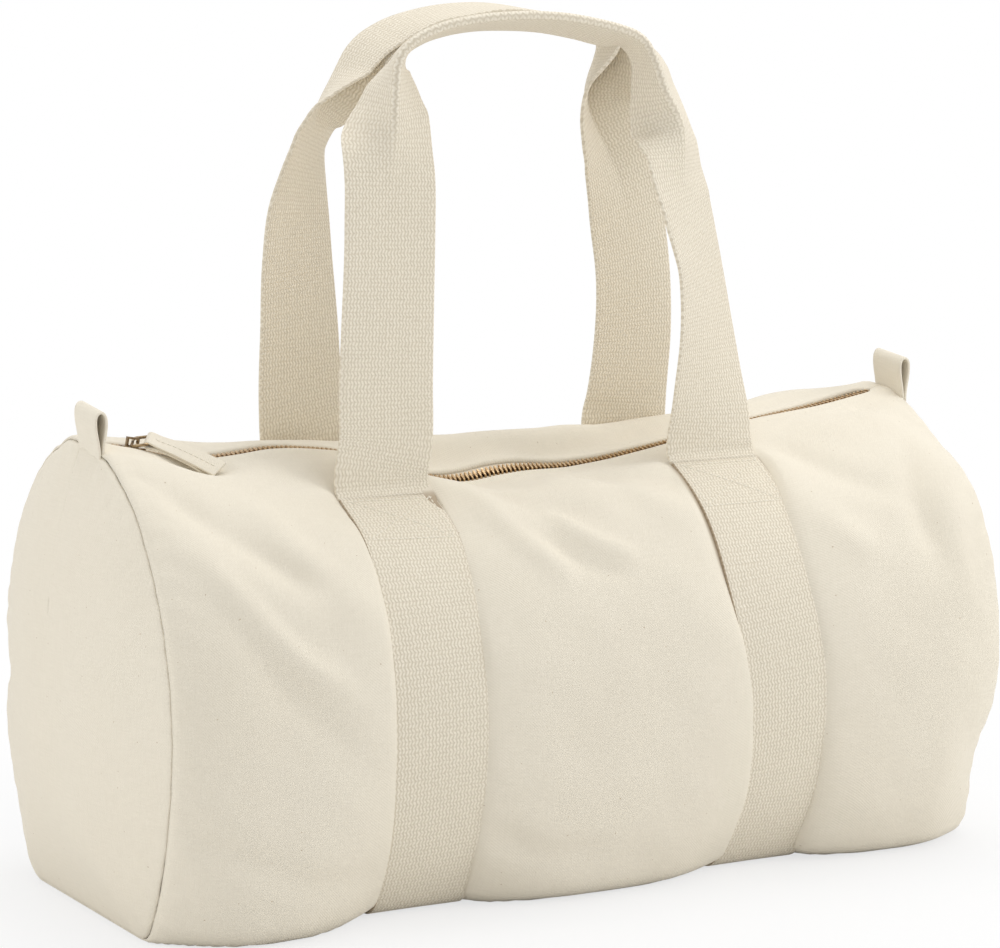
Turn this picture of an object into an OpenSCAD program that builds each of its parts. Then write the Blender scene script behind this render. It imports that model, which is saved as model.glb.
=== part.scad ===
// Barrel bag in natural canvas: one panel wrapped round two end panels, closed by a metal zip
// along the top, girthed by two bands of webbing that carry a front and a rear handle.
// X runs along the bag, the front is at -Y, and the bag stands on z = 0.

/* [Body] */
// Length between the two end seams
body_len = 456; // [400:1:560]
// Width at the waist, where the bag is widest
body_w = 212; // [190:1:250]
// Height of the end seams
body_h = 225; // [215:1:260]
// How much lower the crown is between the two bands of webbing than at the end seams
crown_drop = 11; // [4:1:16]
// Height of the waist above the ground
waist_h = 103; // [90:1:120]
// Width of the flat that the bag stands on
flat_w = 144; // [120:1:160]
// Reach of the soft corner at the edge of that flat
corner_soft = 8; // [4:0.5:14]
// Thickness of the canvas
canvas_t = 1; // [0.7:0.1:1.4]
// How far the filled canvas swells between the bands
swell = 4; // [1:0.5:6]
// How far each end panel domes outwards
dome = 12; // [6:0.5:20]
// Depth of the bound seam allowance inside each end
binding_w = 10; // [6:0.5:14]
// Thickness of the bound seam allowance
binding_t = 3; // [2:0.1:4]
// Clearance between a soft piece and its neighbour
soft_gap = 0.3; // [0.2:0.05:0.4]

/* [Zip] */
// How far the zip line sags between the ends
zip_sag = 24; // [16:1:30]
// Half width of the flat strip that carries the zip
zip_flat = 15; // [13:0.5:18]
// Distance over which the canvas rises from that strip to the crown
zip_rise = 24; // [20:1:26]
// Width of the gap between the canvas edges, from the middle
zip_edge = 6.4; // [6:0.1:8]
// Length of canvas that is sewn shut between the end seam and the zip
sewn_end = 14; // [10:1:18]
// Width of each tape
tape_w = 12; // [9:0.5:13]
// Thickness of each tape
tape_t = 0.6; // [0.4:0.05:0.8]
// Distance of each tape's edge from the middle of the chain
tape_edge = 1.6; // [1.5:0.05:1.9]
// Distance from one tooth to the next on the same tape
tooth_pitch = 2.4; // [2.3:0.05:3]
// Length of a tooth along the chain
tooth_len = 1.05; // [0.8:0.05:1.1]
// Half width of the closed chain
chain_half = 3; // [2.7:0.05:3.2]
// Thickness of the chain
chain_t = 2.4; // [2:0.1:2.6]
// How far a tooth's head reaches past the middle
tooth_bite = 0.8; // [0.5:0.05:1]
// Length of a stop at the end of the chain
stop_len = 2; // [1.5:0.1:3]

/* [Slider] */
// Length of the slider
slider_len = 11.5; // [10:0.5:14]
// Width of the slider
slider_w = 9.6; // [9.2:0.1:10.4]
// Thickness of the slider's two plates
plate_t = 1; // [0.8:0.05:1.2]
// Running clearance between the slider and the chain
slider_play = 0.3; // [0.2:0.05:0.4]
// Half width of the post between the plates
post_half = 1.1; // [0.8:0.05:1.2]
// Length of the post
post_len = 1.6; // [1.2:0.1:2]
// Height of the bridge that holds the ring, above the top plate
bridge_h = 4.4; // [4.2:0.1:5.5]
// Length of the bridge
bridge_len = 6.4; // [5.6:0.1:7.5]
// Width of the bridge
bridge_w = 1.8; // [1.4:0.1:2.4]

/* [Pull] */
// Diameter of the ring's wire
ring_wire = 1.5; // [1.2:0.1:1.7]
// Width of the ring between the middles of its wires
ring_w = 13.5; // [13.5:0.5:16]
// Length of the ring between the middles of its wires
ring_len = 8; // [7.5:0.5:11]
// Angle by which the loose ring is turned towards the front
pull_turn = 16; // [8:1:17]
// Angle by which the loose ring hangs lower at the front
pull_roll = 12; // [4:1:13]
// Angle at which the ring stands up from the zip
ring_pitch = 45; // [40:1:60]
// Width of the canvas pull
pull_w = 11; // [8:0.5:11]
// Length of the canvas pull from the ring to its end
pull_len = 37; // [28:1:44]
// Thickness of the folded canvas pull
pull_t = 2.4; // [1.8:0.1:2.8]
// Angle by which the pull droops from the ring
pull_droop = 7; // [3:0.5:7.5]

/* [Webbing] */
// Width of the webbing
web_w = 50; // [40:1:56]
// Thickness of the webbing
web_t = 2; // [1.6:0.1:2.4]
// Distance of each band from the middle of the bag
band_x = 97; // [90:1:110]
// Distance of each handle's seam from the middle of the bag
attach_y = 44; // [42:0.5:50]

/* [Handles] */
// Height of a handle above its seam
handle_h = 215; // [160:1:260]
// Angle by which a handle leans inwards
handle_lean = 5; // [4.5:0.1:7]
// Gap inside the folded grip
grip_gap = 0.5; // [0.3:0.05:1]
// Play between a handle's end and its band
handle_play = 0.4; // [0.3:0.05:0.6]

/* [Tabs] */
// Width of each tab loop
tab_w = 25; // [18:0.5:28]
// Height of each tab loop above the seam
tab_h = 17; // [14:0.5:26]
// Thickness of the folded strip that the loop is made of
tab_t = 1.4; // [1:0.1:1.8]
// Width of the loop's hole
tab_hole = 5.2; // [4.8:0.1:7]
// Distance of the loop's middle from the zip line, towards the front
tab_shift = 8; // [7.5:0.5:10]

/* [Hidden] */
$fn = 32;

canvas_colour = [0.93, 0.90, 0.83];
webbing_colour = [0.90, 0.86, 0.77];
tape_colour = [0.86, 0.81, 0.70];
brass_colour = [0.62, 0.50, 0.32];

// Named overrun for cuts that run past a face
overrun = 0.5;

// Steps round each stretch of the section, across the end panels and along the handles
top_steps = 7;
side_steps = 12;
corner_steps = 5;
flat_steps = 2;
ring_steps = 5;
handle_steps = 56;

// Section of the body
half_len = body_len / 2;
half_w = body_w / 2;
crown_h = body_h - crown_drop;
low_h = waist_h / sqrt(1 - pow(flat_w / body_w, 2));
web_lift = web_t + soft_gap;
band_half = web_w / 2 + 2 * soft_gap;
band_in = band_x - band_half;
band_out = band_x + band_half;
band_run = 2 * corner_soft;
end_run = half_len - band_out - band_run;

// The zip line is an arc about an axis far above the bag
top_radius = (pow(half_len, 2) + pow(zip_sag, 2)) / (2 * zip_sag);
zip_axis_z = body_h - zip_sag + top_radius;
chain_drop = canvas_t + soft_gap + tape_t / 2;
chain_radius = top_radius + chain_drop;
chain_half_run = half_len - sewn_end - stop_len - soft_gap;
slider_home = -chain_half_run + slider_len / 2 + soft_gap;
tape_half_run = half_len - binding_t - 3 * soft_gap;

// Height of the slider's faces above the middle of the chain
plate_in = chain_t / 2 + slider_play;
plate_out = plate_in + plate_t;
flange_in = tape_t / 2 + slider_play;
eye_z = plate_out + bridge_h / 2 - plate_t / 4;

// Handle seam: the angle round the section, and the hinge line on the webbing's outer face
attach_angle = asin(attach_y / half_w);
corner_start = acos(-(waist_h - corner_soft - web_lift) / low_h);
corner_end = acos(-(waist_h + corner_soft) / low_h);

// Line that each tab loop flops about, just above the end seam
loop_pivot = [half_len + soft_gap / 2, -tab_shift, body_h + tab_t + 2 * soft_gap];

function smooth_step(u) = let (v = min(1, max(0, u))) v * v * (3 - 2 * v);
function mix(a, b, share) = a + (b - a) * share;

// Height of the crown of the section at x
function crown(x) = mix(crown_h, body_h, smooth_step((abs(x) - band_out) / (half_len - band_out)));

// Share of the full swell at x, none under the bands and none at the end seams
function swell_share(x) =
    abs(x) < band_in ? cos(90 * abs(x) / band_in)
    : abs(x) > band_out ? sin(180 * (abs(x) - band_out) / (half_len - band_out))
    : 0;

// Height of the canvas above the ground at x, lifted by the webbing under the bands
function underside(x) = web_lift * (1 - smooth_step(max(band_in - abs(x), abs(x) - band_out) / band_run));

// Height of the canvas beside the zip
function zip_top(x) = zip_axis_z - sqrt(pow(top_radius, 2) - pow(x, 2));

// Share by which the canvas follows the zip at a distance y from the middle
function zip_share(y) = 1 - smooth_step((abs(y) - zip_flat) / zip_rise);

// Soft limit that keeps a height at or above the ground line
function rest_on(z, low) = let (d = z - low)
    d <= -corner_soft ? low : d >= corner_soft ? z : low + pow(d + corner_soft, 2) / (4 * corner_soft);

// Point of the section at x, angle a round from the top towards the front, off from the canvas face
function section(x, a, off, low) =
    let (reach = cos(a) > 0 ? crown(x) - waist_h : low_h)
    let (normal = [-sin(a) * reach, cos(a) * half_w])
    let (out = normal / norm(normal))
    let (push = off + swell * swell_share(x) * abs(sin(a)))
    let (y = -half_w * sin(a))
    let (share = cos(a) > 0 ? zip_share(y) : 0)
    let (z = waist_h + reach * cos(a) + push * out[1])
    [x, y + push * out[0] * (1 - share), mix(rest_on(z, low), zip_top(x) + off, share)];

// Half width of the slot in the canvas at x, closed where the ends are sewn shut
function slot_half(x) = mix(soft_gap / 2, zip_edge, smooth_step((half_len - abs(x) - sewn_end / 2) / (sewn_end / 2)));
function slot_angle(x) = asin(slot_half(x) / half_w);

// Angles of the section from the top round to the top again, starting at a given angle
half_below = concat(
    [for (i = [0:side_steps - 1]) mix(attach_angle, corner_start, i / side_steps)],
    [for (i = [0:corner_steps - 1]) mix(corner_start, corner_end, i / corner_steps)],
    [for (i = [0:flat_steps]) mix(corner_end, 180, i / flat_steps)]);
function around(first) =
    let (half = concat([for (i = [0:top_steps - 1]) mix(first, attach_angle, i / top_steps)], half_below))
    concat(half, [for (i = [len(half) - 2:-1:0]) 360 - half[i]]);
ring_angles = [for (i = [0:2 * (len(half_below) + top_steps - 1) - 1]) around(0)[i]];
around_count = len(ring_angles);

// Stations along the body, with one at each edge of each band
half_stations = concat(
    [for (i = [0:4]) (band_in - band_run) * i / 4],
    [band_in - band_run / 2, band_in, band_x, band_out, band_out + band_run / 2, band_out + band_run],
    [for (i = [1:5]) band_out + band_run + (end_run - sewn_end) * i / 5],
    [half_len - sewn_end / 2, half_len]);
last = len(half_stations) - 1;
stations = concat([for (i = [last:-1:1]) -half_stations[i]], half_stations);

function flatten(lists) = [for (l = lists) for (item = l) item];

// Two triangles for each cell of a grid of rows and columns of points, starting at a point number
function cells(rows, cols, first, flip) = flatten([for (i = [0:rows - 2]) for (j = [0:cols - 2])
    let (a = first + i * cols + j, b = a + 1, c = a + cols, d = c + 1)
    flip ? [[a, c, b], [b, c, d]] : [[a, b, c], [b, d, c]]]);

// Closed sheet between an outer and an inner grid of points
module sheet(outer, inner) {
    rows = len(outer);
    cols = len(outer[0]);
    inner_first = rows * cols;
    row_walls = flatten([for (i = [0:rows - 2])
        let (a = i * cols, c = a + cols, a2 = a + inner_first, c2 = c + inner_first)
        let (b = a + cols - 1, d = b + cols, b2 = b + inner_first, d2 = d + inner_first)
        [[a, c, a2], [c, c2, a2], [b, b2, d], [d, b2, d2]]]);
    col_walls = flatten([for (j = [0:cols - 2])
        let (a = j, b = j + 1, a2 = a + inner_first, b2 = b + inner_first)
        let (c = (rows - 1) * cols + j, d = c + 1, c2 = c + inner_first, d2 = d + inner_first)
        [[a, a2, b], [b, a2, b2], [c, d, c2], [d, d2, c2]]]);
    polyhedron(points = concat(flatten(outer), flatten(inner)),
        faces = concat(cells(rows, cols, 0, false), cells(rows, cols, inner_first, true), row_walls, col_walls));
}

// Closed solid swept through rings of points, joined into a loop where no triangles close its ends
module swept(rings, cap = []) {
    count = len(rings);
    sides = len(rings[0]);
    spans = len(cap) == 0 ? count : count - 1;
    walls = flatten([for (i = [0:spans - 1]) for (j = [0:sides - 1])
        let (a = i * sides + j, b = i * sides + (j + 1) % sides)
        let (c = ((i + 1) % count) * sides + j, d = ((i + 1) % count) * sides + (j + 1) % sides)
        [[a, b, c], [b, d, c]]]);
    ends = concat([for (t = cap) [t[0], t[2], t[1]]],
        [for (t = cap) [for (corner = t) (count - 1) * sides + corner]]);
    polyhedron(points = flatten(rings), faces = concat(walls, ends));
}

// Main panel: one length of canvas from one zip edge, under the bag, to the other
module body_panel() {
    outer = [for (x = stations) [for (a = around(slot_angle(x))) section(x, a, 0, underside(x))]];
    inner = [for (x = stations) [for (a = around(slot_angle(x)))
        section(x, a, -canvas_t, underside(x) + canvas_t)]];
    color(canvas_colour) sheet(outer, inner);
}

// End panel at the right, domed outwards; side is 1 at the right and -1 at the left
module end_panel(side) {
    middle_z = waist_h;
    rim = [for (a = ring_angles) section(half_len, a, 0, 0)];
    function ring_at(share, shift) = [for (p = rim)
        [half_len + soft_gap + shift + dome * (1 - pow(share, 2)), p[1] * share, mix(middle_z, p[2], share)]];
    shares = [for (i = [1:ring_steps]) i / ring_steps];
    outer_rings = [for (i = [ring_steps - 1:-1:0]) ring_at(shares[i], canvas_t)];
    inner_rings = [for (i = [0:ring_steps - 1]) ring_at(shares[i], 0)];
    rings = concat(inner_rings, outer_rings);
    points = concat(flatten(rings), [[half_len + soft_gap + dome, 0, middle_z],
        [half_len + soft_gap + dome + canvas_t, 0, middle_z]]);
    count = len(rings);
    inner_hub = count * around_count;
    walls = flatten([for (i = [0:count - 2]) for (j = [0:around_count - 1])
        let (a = i * around_count + j, b = i * around_count + (j + 1) % around_count)
        let (c = a + around_count, d = b + around_count)
        [[a, b, c], [b, d, c]]]);
    hubs = flatten([for (j = [0:around_count - 1])
        let (k = (j + 1) % around_count, out = (count - 1) * around_count)
        [[inner_hub, k, j], [inner_hub + 1, out + j, out + k]]]);
    color(canvas_colour)
        mirror([side < 0 ? 1 : 0, 0, 0])
            polyhedron(points = points, faces = concat(walls, hubs));
}

// Bound seam allowance that stands inwards all round the end seam
module seam_binding(side) {
    reach = canvas_t + soft_gap;
    x_out = half_len - soft_gap;
    x_in = x_out - binding_t;
    rings = [for (a = ring_angles)
        [for (spot = [[x_in, reach], [x_out, reach], [x_out, reach + binding_w], [x_in, reach + binding_w]])
            section(spot[0], a, -spot[1], spot[1])]];
    color(tape_colour)
        mirror([side < 0 ? 1 : 0, 0, 0])
            swept(rings);
}

// Puts children on the zip arc, at a distance along it from the middle of the bag
module on_zip(run) {
    translate([0, 0, zip_axis_z])
        rotate([0, -run * 180 / (PI * chain_radius), 0])
            translate([0, 0, -chain_radius])
                children();
}

// One tape of the zip; side is 1 at the rear and -1 at the front
module zip_tape(side) {
    turn = tape_half_run * 180 / (PI * chain_radius);
    color(tape_colour)
        mirror([0, side < 0 ? 0 : 1, 0])
            translate([0, 0, zip_axis_z])
                rotate([90, 0, 0])
                    rotate([0, 0, -90 - turn])
                        rotate_extrude(angle = 2 * turn, $fn = 360)
                            translate([chain_radius - tape_t / 2, tape_edge])
                                square([tape_t, tape_w]);
}

// Outline across the chain of a metal piece clamped on a tape's edge, head towards the other tape
module clamp_outline(head) {
    slot = tape_t / 2 + slider_play / 2;
    neck = tape_edge - slider_play / 2;
    crest = chain_t / 4;
    polygon([
        [-head, -crest], [-head, crest], [0, chain_t / 2], [chain_half, chain_t / 2], [chain_half, slot],
        [neck, slot], [neck, -slot], [chain_half, -slot], [chain_half, -chain_t / 2], [0, -chain_t / 2]]);
}

// Clamped metal piece of a given length on one tape
module clamped(side, head, length) {
    mirror([0, side < 0 ? 1 : 0, 0])
        rotate([90, 0, 90])
            linear_extrude(length, center = true)
                clamp_outline(head);
}

// Row of teeth on one tape
module zip_teeth(side) {
    first = slider_home - slider_len / 2 + post_len + tooth_len;
    count = floor((chain_half_run - first) / tooth_pitch);
    color(brass_colour)
        for (i = [0:count - 1])
            on_zip(first + tooth_pitch * (i + (side > 0 ? 1 / 2 : 0)))
                clamped(side, tooth_bite, tooth_len);
}

// Two top stops at the left end and one bottom stop at the right end
module zip_stops() {
    middle = chain_half_run + stop_len / 2 + soft_gap / 2;
    color(brass_colour) {
        for (side = [-1, 1])
            on_zip(-middle)
                clamped(side, -soft_gap / 2, stop_len);
        on_zip(middle)
            for (side = [-1, 1])
                clamped(side, tooth_bite, stop_len);
    }
}

// Slider body: two plates with flanges, joined by the post at its nose, and the ring's bridge
module zip_slider() {
    flange_t = slider_w / 2 - chain_half - slider_play;
    color(brass_colour)
        on_zip(slider_home) {
            for (side = [-1, 1]) {
                mirror([0, 0, side < 0 ? 1 : 0])
                    translate([0, 0, plate_in])
                        linear_extrude(plate_t)
                            plate_outline();
                for (rear = [-1, 1])
                    translate([
                        -slider_len / 4,
                        rear < 0 ? -slider_w / 2 : slider_w / 2 - flange_t,
                        side < 0 ? -plate_in : flange_in])
                        cube([slider_len / 2, flange_t, plate_in - flange_in]);
            }
            translate([-slider_len / 2 + soft_gap, -post_half, -plate_in])
                cube([post_len, 2 * post_half, 2 * plate_in]);
            bridge();
        }
}

// Plan of a slider plate, wide at the nose and narrower at the tail
module plate_outline() {
    tail_share = 0.78;
    nose_share = 0.55;
    polygon([
        [-slider_len / 2, -slider_w / 2 * nose_share], [-slider_len / 4, -slider_w / 2],
        [slider_len / 4, -slider_w / 2], [slider_len / 2, -slider_w / 2 * tail_share],
        [slider_len / 2, slider_w / 2 * tail_share], [slider_len / 4, slider_w / 2],
        [-slider_len / 4, slider_w / 2], [-slider_len / 2, slider_w / 2 * nose_share]]);
}

// Arched bridge on the top plate, with an eye for the ring
module bridge() {
    eye_half = bridge_len / 2 - plate_t;
    difference() {
        translate([-bridge_len / 2, -bridge_w / 2, plate_out])
            cube([bridge_len, bridge_w, bridge_h]);
        translate([-eye_half, -bridge_w / 2 - overrun, plate_out + plate_t / 2])
            cube([2 * eye_half, bridge_w + 2 * overrun, bridge_h - 3 / 2 * plate_t]);
    }
}

// Places the pull's pieces at the bridge's eye, turned towards the front
module at_eye() {
    on_zip(slider_home)
        translate([0, 0, eye_z])
            rotate([0, 0, -pull_turn])
                rotate([pull_roll, 0, 0])
                    children();
}

// Rectangular wire ring with round corners, through the bridge and towards the right
module pull_ring() {
    bend_r = ring_wire;
    long_run = ring_w - 2 * bend_r;
    short_run = ring_len - 2 * bend_r;
    color(brass_colour)
        at_eye()
            rotate([0, -ring_pitch, 0])
                translate([ring_len / 2, 0, 0])
                    for (turn = [0:3])
                        rotate([0, 0, 90 * turn]) {
                            along = turn % 2 == 0 ? long_run : short_run;
                            out = turn % 2 == 0 ? ring_len / 2 : ring_w / 2;
                            translate([out, 0, 0])
                                rotate([90, 0, 0])
                                    cylinder(d = ring_wire, h = along, center = true);
                            translate([out - bend_r, along / 2, 0])
                                rotate_extrude(angle = 90)
                                    translate([bend_r, 0])
                                        circle(d = ring_wire);
                        }
}

// Folded canvas pull round the ring's far bar
module pull_tab() {
    bore_r = ring_wire / 2 + soft_gap;
    eye_r = bore_r + canvas_t;
    color(canvas_colour)
        at_eye()
            translate([ring_len * cos(ring_pitch), 0, ring_len * sin(ring_pitch)])
                rotate([90, pull_droop, 0])
                    linear_extrude(pull_w, center = true)
                        difference() {
                            union() {
                                circle(eye_r);
                                translate([0, -pull_t / 2])
                                    square([pull_len, pull_t]);
                            }
                            circle(bore_r);
                        }
}

// Loop of folded canvas that stands in the end seam and flops about its foot;
// side is 1 at the right and -1 at the left
module tab_loop(side) {
    foot_r = tab_t + soft_gap / 2;
    bulb_r = tab_hole / 2 + tab_t;
    bulb_z = tab_h - bulb_r - foot_r;
    color(canvas_colour)
        translate([side * loop_pivot[0], loop_pivot[1], loop_pivot[2]])
            rotate([90, 0, 0])
                linear_extrude(tab_w, center = true)
                    difference() {
                        union() {
                            circle(foot_r);
                            translate([0, bulb_z])
                                circle(bulb_r);
                            polygon([[-foot_r, 0], [foot_r, 0], [bulb_r, bulb_z], [-bulb_r, bulb_z]]);
                        }
                        translate([0, bulb_z])
                            circle(tab_hole / 2);
                        polygon([[0, tab_t], [tab_hole / 2, bulb_z], [-tab_hole / 2, bulb_z]]);
                    }
}

// Band of webbing from the front handle seam, down, under the bag and up to the rear one
module girth_band(side) {
    angles = concat(half_below, [for (i = [len(half_below) - 2:-1:0]) 360 - half_below[i]]);
    outer = [for (a = angles) section(band_x, a, web_lift, 0)];
    inner = [for (a = angles) section(band_x, a, soft_gap, web_t)];
    outline = concat([for (p = outer) [p[1], p[2]]],
        [for (i = [len(inner) - 1:-1:0]) [inner[i][1], inner[i][2]]]);
    color(webbing_colour)
        translate([side * band_x, 0, 0])
            rotate([90, 0, 90])
                linear_extrude(web_w, center = true)
                    polygon(outline);
}

// Hinge line of the handles, on the outer face of the webbing at its seam
hinge = section(band_x, attach_angle, web_lift + handle_play / 2, 0);

// Middle line of a handle in its own plane, from the left foot up and over to the right foot
rise_share = 0.5;
corner_share = 0.86;
function bezier(a, b, c, d, t) =
    a * pow(1 - t, 3) + 3 * b * t * pow(1 - t, 2) + 3 * c * pow(t, 2) * (1 - t) + d * pow(t, 3);
function handle_half(t) = bezier([-band_x, 0], [-band_x, handle_h * rise_share],
    [-band_x * corner_share, handle_h], [0, handle_h], t);
function handle_point(s) = s <= 1 / 2 ? handle_half(2 * s)
    : let (p = handle_half(2 - 2 * s)) [-p[0], p[1]];
function handle_normal(s) =
    let (step = 1 / handle_steps / 4)
    let (t = handle_point(min(1, s + step)) - handle_point(max(0, s - step)))
    [-t[1], t[0]] / norm(t);

// Angle by which the webbing is folded in half at a share of its run, none at the feet
fold_start_share = 0.26;
fold_end_share = 0.36;
function fold_angle(s) = 90 * smooth_step((min(s, 1 - s) - fold_start_share) / (fold_end_share - fold_start_share));

// Outline of the webbing across its run, folded by an angle, the crease towards the front
function fold_outline(fold) =
    let (half = web_t / 2, crease = web_t / 2)
    let (along = [cos(fold), sin(fold)], out = [sin(fold), -cos(fold)])
    let (base = [(half + grip_gap / 2) * sin(fold), -web_w / 4 * sin(fold)])
    let (tip = base + along * web_w / 2, root = base + along * crease)
    let (right_out = [root + out * half, tip + out * half], right_in = [tip - out * half, root - out * half])
    let (crest = [0, base[1] - half * (1 + sin(fold))], pit = [0, base[1] + half * cos(fold)])
    concat([crest], right_out, right_in, [pit],
        [for (i = [1, 0]) [-right_in[i][0], right_in[i][1]]],
        [for (i = [1, 0]) [-right_out[i][0], right_out[i][1]]]);

// Triangles that close that outline, by the numbers of its points
fold_cap = [[0, 1, 4], [0, 4, 5], [1, 2, 3], [1, 3, 4], [0, 5, 6], [0, 6, 9], [9, 6, 7], [9, 7, 8]];

// Handle hinged along its seam; side is 1 at the rear and -1 at the front
module handle(side) {
    foot_lift = handle_play / 2;
    rings = [for (i = [0:handle_steps])
        let (s = i / handle_steps)
        let (middle = handle_point(s), normal = handle_normal(s))
        [for (p = fold_outline(fold_angle(s)))
            [middle[0] + normal[0] * p[0], web_t / 2 + handle_play / 2 + p[1],
                foot_lift + middle[1] + normal[1] * p[0]]]];
    color(webbing_colour)
        mirror([0, side < 0 ? 0 : 1, 0])
            translate([0, hinge[1], hinge[2]])
                rotate([-handle_lean, 0, 0])
                    swept(rings, fold_cap);
}

body_panel();
end_panel(-1);  // left_end_panel
end_panel(1);  // right_end_panel
seam_binding(-1);  // left_seam_binding
seam_binding(1);  // right_seam_binding
zip_tape(-1);  // zip_tape_front
zip_tape(1);  // zip_tape_rear
zip_teeth(-1);  // zip_teeth_front
zip_teeth(1);  // zip_teeth_rear
zip_stops();
zip_slider();
pull_ring();
pull_tab();
tab_loop(-1);  // left_tab_loop
tab_loop(1);  // right_tab_loop
girth_band(-1);  // left_girth_band
girth_band(1);  // right_girth_band
handle(-1);  // front_handle
handle(1);  // rear_handle
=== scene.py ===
"""Barrel bag in undyed cotton canvas with webbing bands and handles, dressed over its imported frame."""

import math

import bmesh
import bpy
import numpy as np
from mathutils import Matrix, Vector


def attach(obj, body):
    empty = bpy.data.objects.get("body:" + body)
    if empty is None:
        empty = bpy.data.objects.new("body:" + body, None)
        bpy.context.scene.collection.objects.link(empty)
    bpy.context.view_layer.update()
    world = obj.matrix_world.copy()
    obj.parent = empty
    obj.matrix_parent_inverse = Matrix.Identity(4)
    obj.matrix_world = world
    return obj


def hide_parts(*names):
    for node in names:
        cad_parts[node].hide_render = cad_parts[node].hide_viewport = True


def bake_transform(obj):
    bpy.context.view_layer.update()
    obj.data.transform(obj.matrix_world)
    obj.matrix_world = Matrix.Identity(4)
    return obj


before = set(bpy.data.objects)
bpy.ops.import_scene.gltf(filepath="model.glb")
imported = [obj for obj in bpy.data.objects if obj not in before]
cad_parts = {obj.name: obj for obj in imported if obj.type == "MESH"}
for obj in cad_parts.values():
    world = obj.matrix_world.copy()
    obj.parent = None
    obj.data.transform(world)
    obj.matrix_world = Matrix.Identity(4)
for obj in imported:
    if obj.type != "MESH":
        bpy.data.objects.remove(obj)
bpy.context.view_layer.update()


# Driving sizes in metres, as the frame has them: the end seams, the waist, the bands and the cloth.
HALF_LENGTH, HALF_WIDTH, WAIST = 0.228, 0.106, 0.103
BAND_MIDDLE, BAND_OFF = 0.094, 0.0013
CANVAS_THICK, WEBBING_WIDTH, WEBBING_THICK = 0.0010, 0.050, 0.002
END_MIDDLE = np.array([0.0, 0.104])
# Where the canvas leaves the bands, on their inner and their outer sides.
INNER_EDGE, OUTER_EDGE = 0.0700, 0.1225
# Height of the top between the bands, its rise towards the ends, and the reach below the waist.
CROWN, CROWN_RISE, UNDER_REACH = 0.214, 0.011, 0.140345
# The canvas rolls into the end seams by this depth, over this distance from the seam.
ROLL_DEPTH, ROLL_REACH = 0.0013, 0.0034


# Shader helpers. A node is made with its settings, then its inputs are fed from other nodes or with
# plain values. The node groups take a place and some sizes, and give only heights and masks.
def feed(tree, node, feeds):
    for socket, value in feeds.items():
        if isinstance(value, bpy.types.NodeSocket):
            tree.links.new(value, node.inputs[socket])
        else:
            node.inputs[socket].default_value = value


def wire(tree, kind, feeds=None, **settings):
    made = tree.nodes.new(kind)
    for key, value in settings.items():
        setattr(made, key, value)
    feed(tree, made, feeds or {})
    return made


def sums(tree, operation, *values, clamp=False):
    feeds = dict(enumerate(values))
    return wire(tree, "ShaderNodeMath", feeds, operation=operation, use_clamp=clamp).outputs[0]


def ranged(tree, *values, **settings):
    """A value carried from one range to another. values: the value, then from and to, twice."""
    return wire(tree, "ShaderNodeMapRange", dict(enumerate(values)), **settings).outputs[0]


def mixed(tree, share, first, second, blend="MIX"):
    feeds = {0: share, 6: first, 7: second}
    return wire(tree, "ShaderNodeMix", feeds, data_type="RGBA", blend_type=blend).outputs[2]


def noise(tree, place, scale, detail, **settings):
    feeds = {"Vector": place, "Scale": scale, "Detail": detail}
    return wire(tree, "ShaderNodeTexNoise", feeds, **settings).outputs


def stretched_noise(tree, place, along_u, along_v):
    spread = wire(tree, "ShaderNodeVectorMath", {0: place, 1: (along_u, along_v, 0)}, operation="MULTIPLY")
    return noise(tree, spread.outputs[0], 1.0, 1.0, noise_dimensions="2D")[0]


def in_steps_of(tree, place, size):
    """A place counted in steps of a size, so that a pattern on it has that size."""
    feeds = {0: place, "Scale": sums(tree, "DIVIDE", 1.0, size)}
    return wire(tree, "ShaderNodeVectorMath", feeds, operation="SCALE").outputs[0]


def start_group(name, place, sizes, gives):
    tree = bpy.data.node_groups.new(name, "ShaderNodeTree")
    tree.interface.new_socket(place, in_out="INPUT", socket_type="NodeSocketVector")
    for label, size in sizes.items():
        tree.interface.new_socket(label, in_out="INPUT", socket_type="NodeSocketFloat").default_value = size
    for label in gives:
        tree.interface.new_socket(label, in_out="OUTPUT", socket_type="NodeSocketFloat")
    return tree, tree.nodes.new("NodeGroupInput").outputs, tree.nodes.new("NodeGroupOutput").inputs


def start_material(name):
    made = bpy.data.materials.new(name)
    made.use_nodes = True
    return made, made.node_tree, made.node_tree.nodes["Principled BSDF"]


def cloth_map(tree):
    return wire(tree, "ShaderNodeUVMap", uv_map="cloth").outputs[0]


def object_place(tree):
    return wire(tree, "ShaderNodeTexCoord").outputs["Object"]


def with_crease_shade(tree, colour):
    """The colour with painted shade: darker where the mesh is marked as lying in a crease, as if a contact
    shadow fell there.
    """
    mark = wire(tree, "ShaderNodeAttribute", attribute_name="crease").outputs["Fac"]
    # Painted shade: the dark colour that the marked creases are multiplied towards.
    shade = mixed(tree, mark, (1.0, 1.0, 1.0, 1), (0.56, 0.49, 0.42, 1))
    return mixed(tree, 1.0, colour, shade, blend="MULTIPLY")


def cloth_finish(tree, shader, colour, height, relief, matt):
    """Wires a cloth's colour and threads to its shader. relief: the bump's strength and distance.
    matt: roughness, specular level and sheen."""
    bump = wire(tree, "ShaderNodeBump", {"Height": height, "Strength": relief[0], "Distance": relief[1]})
    feed(tree, shader, {"Base Color": colour, "Normal": bump.outputs[0], "Roughness": matt[0],
                        "Specular IOR Level": matt[1], "Sheen Weight": matt[2], "Sheen Roughness": 0.5})


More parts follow.
